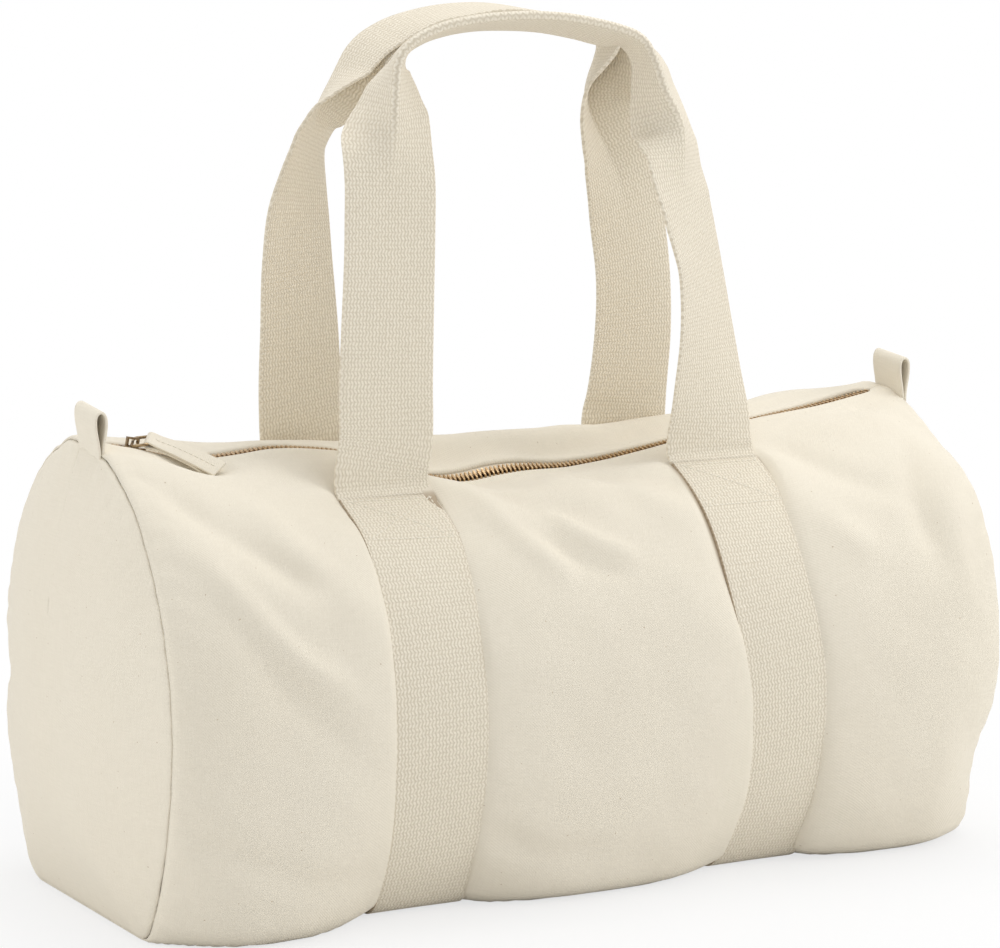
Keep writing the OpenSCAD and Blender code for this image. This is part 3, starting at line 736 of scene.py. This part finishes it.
# Handles. The webbing leaves the bag at its seams, stands up as two flat legs, and is folded in
# half along the grip with the crease outwards. One leg goes up flat and closes in a short neck;
# the other turns as it goes up and closes slowly. The two handles are turned end for end.
def smooth_run(knots, count):
    """Rows of values along a smooth run through the knots, at even steps of the first three columns."""
    knots = np.array(knots, float)
    span = np.linalg.norm(np.diff(knots[:, :3], axis=0), axis=1)[:, None]
    slope = np.diff(knots, axis=0) / span
    between = (slope[:-1] * span[1:] + slope[1:] * span[:-1]) / (span[1:] + span[:-1])
    ahead = np.concatenate([slope[:1], between, slope[-1:]])
    rows = []
    for i in range(len(knots) - 1):
        for t in np.linspace(0, 1, 40, endpoint=i == len(knots) - 2):
            places = (2 * t**3 - 3 * t**2 + 1) * knots[i] + (3 * t**2 - 2 * t**3) * knots[i + 1]
            slopes = (t**3 - 2 * t**2 + t) * ahead[i] + (t**3 - t**2) * ahead[i + 1]
            rows.append(places + slopes * span[i])
    rows = np.array(rows)
    step = run_length(rows[:, :3])
    return rows_at(np.linspace(0, step[-1], count), step, rows)


# The foot of a handle's leg: a flat stretch past the seam, then steps that bend it upright.
FOOT_FLAT, FOOT_STEP, HANDLE_ROWS = 0.0022, 0.0018, 300


def handle_foot(side, turned):
    """Knots where the webbing leaves the bag: along the canvas, then bent up into the leg."""
    world_side = -side if turned else side
    seams = (REAR_SEAM, REAR_SEAM + 0.02) if turned else (FRONT_SEAM, FRONT_SEAM - 0.02)
    y, z = panel_section(world_side * BAND_MIDDLE, np.array(seams))
    y = -np.abs(y)
    along = unit(np.array([y[1] - y[0], z[1] - z[0]]))
    start = np.array([y[0] - BAND_OFF * along[1], z[0] + BAND_OFF * along[0]])
    x = side * float(band_place(world_side, z[0]))
    knots = [[x, *start, 0, 0], [x, *(start + FOOT_FLAT * along), 0, 0]]
    for lean in np.radians([42, 57, 72, 84]):
        y, z = knots[-1][1:3]
        knots.append([x, y + FOOT_STEP * math.cos(lean), z + FOOT_STEP * math.sin(lean), 0, 0])
    return knots if side < 0 else knots[::-1]


def handle_run(legs, turned):
    """Middles, width and face directions and folds of a handle. legs: knots of x, y, z in
    millimetres, the roll of the face towards the outside of the arch, and the fold, in degrees."""
    knots = [[x / 1000, y / 1000, z / 1000, roll, fold] for x, y, z, roll, fold in legs]
    rows = smooth_run(handle_foot(-1, turned) + knots + handle_foot(1, turned), HANDLE_ROWS)
    middles = rows[:, :3]
    ahead = unit(np.gradient(middles, axis=0))
    arch_out = unit(np.stack([-ahead[:, 2], 0 * ahead[:, 0], ahead[:, 0]], 1))
    front = unit(np.array([0, -1.0, 0]) + ahead * ahead[:, 1:2])
    roll = np.radians(rows[:, 3:4])
    outward = front * np.cos(roll) + arch_out * np.sin(roll)
    outward = unit(outward - (outward * ahead).sum(1, keepdims=True) * ahead)
    across = np.cross(ahead, outward)
    if turned:
        flip = np.array([-1, -1, 1])
        middles, across, outward = middles * flip, across * flip, outward * flip
    return middles, across, outward, np.radians(np.clip(rows[:, 4], 0, 89))


def handle(name, run, node):
    piece = add_piece(name, strip_mesh(name, *run, wave=0.0002), WEBBING)
    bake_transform(piece)
    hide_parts(node)


FRONT_LEGS = [
    (-90.5, -40.5, 222, 0, 0), (-89.8, -39.5, 245, 0, 0), (-88, -38, 275, -2, 0),
    (-86.2, -36.5, 310, -4, 0), (-85.6, -36, 333, -4, 0), (-85.1, -35.8, 344, -4, 2),
    (-84.6, -35.9, 352.5, -3, 7), (-84.1, -36.1, 359, 0, 15), (-83.8, -36.4, 364.5, 6, 25),
    (-83.8, -36.8, 369.5, 14, 36), (-84, -37.4, 374.5, 20, 46), (-84.1, -38, 380.6, 22, 57),
    (-84, -38.8, 388, 23, 67), (-83.8, -39.1, 393.5, 25, 75), (-83, -39.2, 399.5, 27, 82),
    (-79.5, -39.2, 406, 25, 87), (-72.5, -39, 411.2, 20, 89), (-60.7, -38.8, 416, 16, 89),
    (-48, -38.6, 418.8, 14, 89), (-33, -38.4, 420.6, 13, 89), (-13.6, -38.2, 421.4, 14, 89),
    (6.3, -38, 420.6, 15, 89), (26.9, -38, 417.4, 16, 89), (40.4, -38, 414.2, 15, 88),
    (47.8, -38.2, 411.6, 10, 87), (53, -38.4, 407.8, -2, 85), (56.8, -38.6, 401.8, -12, 81),
    (60, -38.6, 395, -17, 76), (62.8, -38.4, 387.8, -16, 70), (67.2, -38, 379.6, -8, 62),
    (71, -37.6, 374, 2, 53), (75, -37, 366, 16, 38), (76.2, -36.6, 356.8, 25, 20),
    (76.4, -36.2, 341.6, 30, 7), (78.5, -36.2, 327.7, 32, 0), (82.6, -36.3, 312.7, 34, 0),
    (85.8, -36.5, 300.7, 35, 0), (88.5, -37, 284.7, 33, 0), (90.4, -38, 264.6, 28, 0),
    (91.2, -39, 239.4, 17, 0), (91.1, -40.5, 220, 6, 0),
]
REAR_LEGS = [
    (-91, -40.5, 222, -4, 0), (-93.6, -38.8, 256.9, -8, 0), (-91.5, -37, 293.3, -10.7, 0),
    (-87.8, -36.2, 314.1, -10.7, 1), (-83.5, -36, 331.1, -10.5, 7), (-75.3, -36.4, 350.2, -10, 21),
    (-69, -36.8, 361.5, -10, 33), (-65.2, -37.2, 370.7, -10, 42), (-64.5, -37.6, 380.3, -10, 51),
    (-66.2, -38, 386.8, -10, 61), (-68.9, -38.2, 393.3, -8, 70), (-70.8, -38.3, 398.3, -6, 77),
    (-71.8, -38.4, 402.8, -4, 82), (-70, -38.4, 407, -2, 87), (-63, -38.4, 410.6, -2, 89),
    (-49, -38.4, 415, 0, 89), (-26.5, -38.4, 420.2, 4, 89), (-3.1, -38.4, 423.4, 8, 89),
    (13.9, -38.4, 423.4, 13, 89), (33.4, -38.4, 420.8, 15, 89), (55, -38.4, 414.4, 24, 89),
    (65, -38.3, 408.7, 25, 88), (70.5, -38.2, 403.5, 26, 86), (76.4, -38, 394.3, 30, 74),
    (81.2, -37.6, 386.7, 43, 46), (85.8, -37.2, 379, 49, 26), (89.3, -37, 371.8, 48, 13),
    (91, -36.6, 364.6, 48, 4), (92.5, -36.4, 358.8, 47, 0), (96.2, -36, 341.9, 38, 0),
    (98.3, -36.2, 328, 30, 0), (99, -37, 301.4, 22, 0), (97.5, -38.8, 266.7, 15, 0),
    (96.5, -39.8, 240, 10, 0), (95, -40.5, 223, 6, 0),
]
handle("front_carry_handle", handle_run(FRONT_LEGS, False), "front_handle")
handle("rear_carry_handle", handle_run(REAR_LEGS, True), "rear_handle")


# Tab loops. A strip of canvas 25 mm wide is folded over, its ends are caught in the end seam, and
# the fold stands up as a narrow teardrop that a hook can go through.
LOOP_PROFILE = [(-0.0008, 0.2175), (-0.0008, 0.2225), (-0.0014, 0.2275), (-0.0023, 0.2325),
                (-0.0027, 0.2370), (-0.0023, 0.2402), (-0.0012, 0.2418), (0.0, 0.2422)]
LOOP_PLACES = {-1: (-0.2284, -0.0095), 1: (0.2244, -0.0060)}
LOOP_WIDTH, LOOP_THICK = 0.025, 0.0013


def tab_loop(name, side, node):
    profile = LOOP_PROFILE + [(-x, z) for x, z in LOOP_PROFILE[-2::-1]]
    place_x, place_y = LOOP_PLACES[side]
    middles = smooth_run([[place_x + x, place_y, z] for x, z in profile], 64)
    ahead = unit(np.gradient(middles, axis=0))
    outward = np.stack([-ahead[:, 2], 0 * ahead[:, 0], ahead[:, 0]], 1)
    across = np.tile(unit(np.array([0, -1.0, -0.10])), (len(middles), 1))
    mesh = strip_mesh(name, middles, across, outward, width=LOOP_WIDTH, thick=LOOP_THICK)
    piece = add_piece(name, mesh, CANVAS)
    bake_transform(piece)
    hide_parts(node)


tab_loop("left_tab", -1, "left_tab_loop")
tab_loop("right_tab", 1, "right_tab_loop")


# Zip. Two woven tapes carry metal teeth at a pitch of 2.4 mm, which close into a chain 6 mm wide.
# The tapes are sewn under the folded edges of the canvas and follow its dip. The teeth are cast
# antique brass, worn bright in patches and dark in between.
def tape_material():
    made, tree, shader = start_material("zip tape")
    feeds = {"Cloth map": cloth_map(tree), "Thread pitch": 0.00045}
    height = wire(tree, "ShaderNodeGroup", feeds, node_tree=WEAVE).outputs["Height"]
    # The tape's colour follows its weave's height: darker where the threads lie low, as painted shade, and
    # varying with the thick and thin yarns.
    tone = mixed(tree, height, (0.70, 0.62, 0.50, 1), (0.84, 0.78, 0.66, 1))
    cloth_finish(tree, shader, tone, height, (0.6, 0.0001), (0.85, 0.3, 0.08))
    return made


TAPE = tape_material()
TAPE_MIDDLE, TAPE_DEPTH, TAPE_WIDTH, TAPE_THICK = 0.0066, 0.0016, 0.0110, 0.0007
CHAIN_DEPTH, CHAIN_END, TOOTH_PITCH = 0.0008, 0.2140, 0.0024


def zip_tape(name, side, node):
    x = np.linspace(-0.2225, 0.2195, 240)
    lean = zip_tilt(x)
    y = np.full_like(x, side * TAPE_MIDDLE)
    middles = np.stack([x, y, zip_line(x) + y * lean - TAPE_DEPTH], 1)
    ahead = unit(np.gradient(middles, axis=0))
    outward = unit(np.cross(ahead, np.stack([0 * x, 1 + 0 * x, lean], 1)))
    across = unit(np.cross(ahead, outward))
    mesh = strip_mesh(name, middles, across, outward, width=TAPE_WIDTH, thick=TAPE_THICK)
    tape = add_piece(name, mesh, TAPE)
    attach(tape, "root")
    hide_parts(node)


zip_tape("front_zip_tape", -1, "zip_tape_front")
zip_tape("rear_zip_tape", 1, "zip_tape_rear")


def brass_wear():
    """Polished and darkened patches of antique brass."""
    sizes, gives = {"Patch size": 0.0015}, ["Worn", "Roughness"]
    tree, takes, gives = start_group("brass wear", "Place", sizes, gives)
    patches = noise(tree, in_steps_of(tree, takes["Place"], takes["Patch size"]), 1.0, 3.0)[0]
    worn = ranged(tree, patches, 0.35, 0.68, 0.0, 1.0)
    tree.links.new(worn, gives["Worn"])
    tree.links.new(sums(tree, "MULTIPLY_ADD", worn, -0.18, 0.46), gives["Roughness"])
    return tree


BRASS_WEAR = brass_wear()


def brass_material(name, dark, bright):
    made, tree, shader = start_material(name)
    wear = wire(tree, "ShaderNodeGroup", {"Place": object_place(tree)}, node_tree=BRASS_WEAR).outputs
    colour = mixed(tree, wear["Worn"], dark, bright)
    feed(tree, shader, {"Base Color": colour, "Roughness": wear["Roughness"], "Metallic": 1.0})
    return made


TOOTH_BRASS = brass_material("tooth brass", (0.36, 0.23, 0.115, 1), (0.68, 0.50, 0.29, 1))
SLIDER_BRASS = brass_material("slider brass", (0.20, 0.135, 0.075, 1), (0.50, 0.38, 0.23, 1))
for brass_node in ("zip_slider", "zip_stops"):
    for brass_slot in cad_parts[brass_node].material_slots:
        brass_slot.material = SLIDER_BRASS


def lofted(name, rings, smooth=False):
    """Closed mesh through a run of rings with as many corners each."""
    work = bmesh.new()
    loops = [[work.verts.new(corner) for corner in ring] for ring in rings]
    for low, high in zip(loops, loops[1:]):
        for j in range(len(low)):
            k = (j + 1) % len(low)
            work.faces.new((low[j], low[k], high[k], high[j])).smooth = smooth
    work.faces.new(loops[0][::-1])
    work.faces.new(loops[-1])
    bmesh.ops.recalc_face_normals(work, faces=work.faces)
    mesh = bpy.data.meshes.new(name)
    work.to_mesh(mesh)
    work.free()
    return mesh


def tooth_mesh(side):
    """One tooth: a block clamped round the tape's cord, a waist, and the rounded head that locks.
    Its X goes to the front, its Y up and its Z along the chain."""
    outline = [(-0.0029, 0.00040), (-0.0026, 0.00054), (-0.0014, 0.00052), (-0.0008, 0.00032),
               (0.0000, 0.00042), (0.0006, 0.00040), (0.00095, 0.00022)]
    rings = []
    for level, shrink in ((-0.00125, 0.80), (-0.00095, 1.0), (0.00095, 1.0), (0.00125, 0.80)):
        ring = [(y, w * shrink) for y, w in outline] + [(y, -w * shrink) for y, w in outline[::-1]]
        rings.append([(side * y, level, w) for y, w in ring])
    return lofted("tooth", rings)


def repeat_tree():
    """Copies of one small object along a curve, at even steps, each in line with the curve."""
    tree = bpy.data.node_groups.new("row of copies", "GeometryNodeTree")
    kinds = {"Path": "Geometry", "Unit": "Object", "Step": "Float", "Finish": "Material"}
    for label, kind in kinds.items():
        tree.interface.new_socket(label, in_out="INPUT", socket_type="NodeSocket" + kind)
    tree.interface.new_socket("Row", in_out="OUTPUT", socket_type="NodeSocketGeometry")
    takes = tree.nodes.new("NodeGroupInput").outputs
    pattern = wire(tree, "GeometryNodeObjectInfo", {"Object": takes["Unit"]}).outputs["Geometry"]
    feeds = {"Curve": takes["Path"], "Length": takes["Step"]}
    points = wire(tree, "GeometryNodeCurveToPoints", feeds, mode="LENGTH").outputs
    feeds = {"Points": points["Points"], "Instance": pattern, "Rotation": points["Rotation"]}
    copies = wire(tree, "GeometryNodeInstanceOnPoints", feeds).outputs["Instances"]
    real = wire(tree, "GeometryNodeRealizeInstances", {"Geometry": copies}).outputs["Geometry"]
    done = wire(tree, "GeometryNodeSetMaterial", {"Geometry": real, "Material": takes["Finish"]})
    tree.links.new(done.outputs["Geometry"], tree.nodes.new("NodeGroupOutput").inputs["Row"])
    return tree


REPEAT = repeat_tree()


def curve_through(name, runs, closed=False, radius=0.0):
    curve = bpy.data.curves.new(name, "CURVE")
    curve.dimensions = "3D"
    curve.twist_mode = "Z_UP"
    curve.bevel_depth = radius
    curve.bevel_resolution = 4
    for run in runs:
        spline = curve.splines.new("POLY")
        spline.points.add(len(run) - 1)
        spline.use_cyclic_u = closed
        for knot, place in zip(spline.points, run):
            knot.co = (*place, 1)
    return new_object(name, curve)


def row_of_copies(name, runs, unit_mesh, step, material):
    """A plain mesh with copies of the unit along each run of points; the unit's +Z goes ahead."""
    path = curve_through(name + "_path", runs)
    pattern = new_object(name + "_unit", unit_mesh)
    maker = path.modifiers.new("row", "NODES")
    maker.node_group = REPEAT
    values = {"Unit": pattern, "Step": step, "Finish": material}
    for socket in REPEAT.interface.items_tree:
        if socket.name in values:
            maker[socket.identifier] = values[socket.name]
    made = new_object(name, mesh_of(path, name))
    for helper in (path, pattern):
        bpy.data.objects.remove(helper)
    return made


def zip_row(name, side, node, shift):
    x = np.linspace(-CHAIN_END + shift, CHAIN_END, 400)
    run = np.stack([x, np.zeros_like(x), zip_line(x) - CHAIN_DEPTH], 1)
    teeth = row_of_copies(name, [run], tooth_mesh(side), TOOTH_PITCH, TOOTH_BRASS)
    for corner in teeth.data.vertices:
        corner.co.z += corner.co.y * float(zip_tilt(corner.co.x))
    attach(teeth, "root")
    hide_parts(node)


zip_row("front_teeth", -1, "zip_teeth_front", 0.0)
zip_row("rear_teeth", 1, "zip_teeth_rear", TOOTH_PITCH / 2)


# Pull ring. A rectangular loop of 1.5 mm brass wire in the slider's bridge, lying back towards
# the front, with the canvas pull hanging on its far bar.
EYE = np.array([-0.203617, 0.0, 0.222999])
RING_PITCH, RING_TURN = math.radians(7), math.radians(30)
RING_AHEAD = np.array([math.cos(RING_PITCH) * math.cos(RING_TURN),
                       -math.cos(RING_PITCH) * math.sin(RING_TURN), math.sin(RING_PITCH)])
RING_AXIS = np.array([-0.303649, -0.940256, -0.154])
RING_LONG, RING_HALF, RING_CORNER, RING_WIRE = 0.0080, 0.0060, 0.0018, 0.00075


def ring_route():
    """The middle of the wire: a rectangle with round corners, from the eye to the far bar."""
    axis = unit(RING_AXIS - RING_AXIS.dot(RING_AHEAD) * RING_AHEAD)
    route = []
    for u, v, first in ((1, 1, 0), (-1, 1, 90), (-1, 0, 180), (1, 0, 270)):
        for angle in np.radians(first + 15 * np.arange(7)):
            a = u * (RING_HALF - RING_CORNER) + RING_CORNER * math.cos(angle)
            b = (RING_LONG - RING_CORNER if v else RING_CORNER) + RING_CORNER * math.sin(angle)
            route.append(EYE + axis * a + RING_AHEAD * b)
    return route


ring_curve = curve_through("ring_path", [ring_route()], closed=True, radius=RING_WIRE)
wire_ring = add_piece("wire_ring", mesh_of(ring_curve, "wire_ring"), SLIDER_BRASS)
wire_ring.data.polygons.foreach_set("use_smooth", np.ones(len(wire_ring.data.polygons), bool))
bpy.data.objects.remove(ring_curve)
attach(wire_ring, "ring")
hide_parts("pull_ring")


# Pull. A strip of canvas folded round the far bar of the ring and sewn to itself. It droops over
# the lowered canvas in front of the zip, and its two layers part a little at the end.
PULL_LENGTH, PULL_WIDTH, PULL_THICK = 0.0365, 0.011, 0.0011
UPPER_ROWS, LOWER_ROWS, BEND_ROWS, BEND_RADIUS = 60, 57, 7, 0.00135


def pull_run():
    """Middles and face directions, from the end of the lower layer round the bar to the upper end."""
    s = np.linspace(0, PULL_LENGTH, UPPER_ROWS)
    share = s / PULL_LENGTH
    turn, droop = np.radians(30 + 17 * share), np.radians(17 + 10 * share)
    ahead = np.stack([np.cos(droop) * np.cos(turn), -np.cos(droop) * np.sin(turn), -np.sin(droop)], 1)
    bar = EYE + RING_LONG * RING_AHEAD
    gone = np.cumsum((ahead[1:] + ahead[:-1]) / 2, axis=0) * s[1]
    middle = bar + np.concatenate([np.zeros((1, 3)), gone])
    aside = np.stack([np.sin(turn), np.cos(turn), 0 * turn], 1)
    tilt = np.radians(20 + 10 * eased(share / 0.7))[:, None]
    face = np.cross(ahead, aside) * np.cos(tilt) - aside * np.sin(tilt)
    near = BEND_RADIUS - 0.00070 * eased(s / 0.006)
    upper = near + 0.0003 * eased((share - 0.75) / 0.25)
    lower = near + 0.0020 * eased((share - 0.62) / 0.38)
    around = np.linspace(0, np.pi, BEND_ROWS + 2)[1:-1, None]
    bend = -np.cos(around) * face[0] - np.sin(around) * ahead[0]
    below = (middle - face * lower[:, None])[LOWER_ROWS - 1::-1]
    middles = np.concatenate([below, bar + BEND_RADIUS * bend, middle + face * upper[:, None]])
    return middles, np.concatenate([-face[LOWER_ROWS - 1::-1], bend, face])


pull_middles, pull_outward = pull_run()
pull_across = unit(np.cross(unit(np.gradient(pull_middles, axis=0)), pull_outward))
pull_mesh = strip_mesh("canvas_pull", pull_middles, pull_across, pull_outward, width=PULL_WIDTH,
                       thick=PULL_THICK)
canvas_pull = add_piece("canvas_pull", pull_mesh, CANVAS)
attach(canvas_pull, "pull")
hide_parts("pull_tab")


# Seam bindings. Inside the bag a folded tape covers the raw edges along each end seam.
BINDING_WIDTH, BINDING_THICK = 0.010, 0.0028
# How far the binding's middle lies from the rim, and how far inside the end seam.
BINDING_OFF, BINDING_IN = 0.0080, 0.0022


def seam_binding(name, side, node):
    rim = panel_points[0 if side < 0 else -1]
    arc = run_length(rim)
    line = rows_at(np.linspace(0.004, arc[-1] - 0.004, 260), arc, rim)
    inward = unit(np.cross(np.array([1.0, 0, 0]), unit(np.gradient(line, axis=0))))
    lowest = len(line) // 2
    if (END_MIDDLE - line[lowest, 1:]).dot(inward[lowest, 1:]) < 0:
        inward = -inward
    middles = line + inward * BINDING_OFF
    middles[:, 0] = side * (HALF_LENGTH - BINDING_IN) + end_shift(side * HALF_LENGTH, middles[:, 2])
    outward = np.tile(np.array([-side * 1.0, 0, 0]), (len(line), 1))
    mesh = strip_mesh(name, middles, inward, outward, width=BINDING_WIDTH, thick=BINDING_THICK)
    binding = add_piece(name, mesh, TAPE)
    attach(binding, "root")
    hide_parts(node)


seam_binding("left_binding", -1, "left_seam_binding")
seam_binding("right_binding", 1, "right_seam_binding")


# Stitches. Thick undyed cotton thread, in stitches of about 3 mm: along both edges of the zip, in a
# box with a cross where each handle leaves its band, and down the middle of the pull.
def thread_material():
    made, tree, shader = start_material("cotton thread")
    twist = noise(tree, object_place(tree), 2600.0, 1.0)[0]
    tone = mixed(tree, twist, (0.76, 0.70, 0.58, 1), (0.90, 0.85, 0.74, 1))
    cloth_finish(tree, shader, tone, twist, (0.5, 0.0001), (0.7, 0.3, 0.1))
    return made


THREAD = thread_material()


def stitch_mesh(length=0.0025, radius=0.00036):
    spots = [(radius * math.cos(k * math.pi / 3), radius * math.sin(k * math.pi / 3)) for k in range(6)]
    tapers = ((-0.5, 0.35), (-0.3, 1.0), (0.3, 1.0), (0.5, 0.35))
    rings = [[(wide * x, wide * y, share * length) for x, y in spots] for share, wide in tapers]
    return lofted("stitch", rings, smooth=True)


def beside_zip(off, rear):
    """The line on the panel at a distance from one edge of the zip."""
    line = []
    for points, rounds in zip(panel_points, panel_v):
        if abs(points[0, 0]) < 0.2165:
            line.append(rows_at(rounds[-1] - off if rear else off, rounds, points))
    return np.array(line)


def on_strip(run, corners, lift=0.0011):
    """Points on a strip's face along straight lines between corners, given along and across it."""
    arc = run_length(run[0])
    line = []
    for (s0, w0), (s1, w1) in zip(corners, corners[1:]):
        for t in np.linspace(0, 1, 14):
            s = s0 + (s1 - s0) * t
            middle, across, outward = (rows_at(arc[-1] + s if s < 0 else s, arc, part) for part in run)
            line.append(middle + across * (w0 + (w1 - w0) * t) + outward * lift)
    return np.array(line)


ZIP_STITCH_OFF, STITCH_PITCH, PULL_STITCH_PITCH = 0.0030, 0.0032, 0.0028
STITCH_ROUTES = [
    [(0.0030, -0.0215), (0.0030, 0.0215), (0.0330, 0.0215), (0.0330, -0.0215), (0.0030, -0.0215)],
    [(0.0042, -0.0195), (0.0318, 0.0195)],
    [(0.0042, 0.0195), (0.0318, -0.0195)],
]
root_rows = [beside_zip(ZIP_STITCH_OFF, False), beside_zip(ZIP_STITCH_OFF, True)]
for band_run in band_runs:
    for end in (1, -1):
        for route in STITCH_ROUTES:
            root_rows.append(on_strip(band_run, [(end * s, w) for s, w in route]))
seam_stitches = row_of_copies("seam_stitches", root_rows, stitch_mesh(), STITCH_PITCH, THREAD)
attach(seam_stitches, "root")

pull_face = [part[LOWER_ROWS + BEND_ROWS:] for part in (pull_middles, pull_across, pull_outward)]
pull_rows = [on_strip(pull_face, [(0.004, 0.0), (0.0325, 0.0)], lift=0.0006)]
pull_stitch = stitch_mesh(0.0021, 0.0003)
pull_stitches = row_of_copies("pull_stitches", pull_rows, pull_stitch, PULL_STITCH_PITCH, THREAD)
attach(pull_stitches, "pull")


# Stage. A pale floor, soft light from a large overhead panel and from both sides, and the camera
# in front of the bag, a little to the left and a little above it.
def paper_material():
    """Pale paper that shines as white as the background to the camera, but for a patch round the bag."""
    made, tree, shader = start_material("paper")
    feed(tree, shader, {"Base Color": (0.86, 0.86, 0.86, 1), "Roughness": 0.9, "Specular IOR Level": 0.1})
    reach = wire(tree, "ShaderNodeVectorMath", {0: object_place(tree)}, operation="LENGTH").outputs["Value"]
    far = ranged(tree, reach, 0.20, 0.45, 0.70, 1.0, interpolation_type="SMOOTHSTEP")
    seen = sums(tree, "MULTIPLY", far, wire(tree, "ShaderNodeLightPath").outputs["Is Camera Ray"])
    white = wire(tree, "ShaderNodeEmission", {"Color": (1, 1, 1, 1), "Strength": 1.0}).outputs[0]
    both = wire(tree, "ShaderNodeMixShader", {0: seen, 1: shader.outputs[0], 2: white})
    tree.links.new(both.outputs[0], tree.nodes["Material Output"].inputs["Surface"])
    return made


floor_mesh = bpy.data.meshes.new("floor")
floor_mesh.from_pydata([(-6, -6, 0), (6, -6, 0), (6, 6, 0), (-6, 6, 0)], [], [(0, 1, 2, 3)])
floor = add_piece("floor", floor_mesh, paper_material())
floor.location.z = -0.0004

world = bpy.data.worlds.new("studio")
bpy.context.scene.world = world
world.use_nodes = True
sky = world.node_tree
paths = wire(sky, "ShaderNodeLightPath").outputs
seen = sums(sky, "MAXIMUM", paths["Is Camera Ray"], paths["Is Transmission Ray"])
seen = sums(sky, "MAXIMUM", seen, paths["Is Glossy Ray"])
glow = wire(sky, "ShaderNodeMix", {0: seen, 2: 0.63, 3: 1.0}, data_type="FLOAT")
feed(sky, sky.nodes["Background"], {"Color": (1, 1, 1, 1), "Strength": glow.outputs[0]})


def soft_light(name, place, target, width, height, power):
    lamp = bpy.data.lights.new(name, "AREA")
    lamp.shape = "RECTANGLE"
    lamp.size, lamp.size_y, lamp.energy = width, height, power
    made = new_object(name, lamp)
    made.location = place
    made.rotation_euler = (Vector(target) - Vector(place)).to_track_quat("-Z", "Y").to_euler()


soft_light("overhead", (0.3, 0.15, 1.7), (0, 0, 0.1), 1.3, 1.0, 11.0)
soft_light("right_side", (1.6, -1.1, 0.9), (0.05, 0, 0.15), 0.9, 1.1, 11.5)
soft_light("left_side", (-1.9, 0.1, 0.6), (-0.1, 0, 0.15), 1.1, 1.2, 8.5)
soft_light("front", (-0.2, -2.4, 1.2), (0, 0, 0.2), 1.4, 1.0, 2.0)


PHOTO_WIDTH_PX = 1000


def photo_camera(azimuth, elevation, roll, focal_px, distance, target):
    a, e = math.radians(azimuth), math.radians(elevation)
    back = Vector((math.sin(a) * math.cos(e), -math.cos(a) * math.cos(e), math.sin(e)))
    right = Vector((math.cos(a), math.sin(a), 0))
    up = back.cross(right)
    basis = Matrix((right, up, back)).transposed() @ Matrix.Rotation(math.radians(roll), 3, "Z")
    data = bpy.data.cameras.new("photo_view")
    data.sensor_width = 36.0
    data.lens = focal_px / PHOTO_WIDTH_PX * data.sensor_width
    made = new_object("photo_view", data)
    made.matrix_world = Matrix.Translation(Vector(target) + back * distance) @ basis.to_4x4()
    bpy.context.scene.camera = made


photo_camera(azimuth=-29.0, elevation=8.6, roll=0.18, focal_px=3761, distance=1.867,
             target=(-0.006, 0, 0.194))
bpy.context.scene.view_settings.view_transform = "Standard"
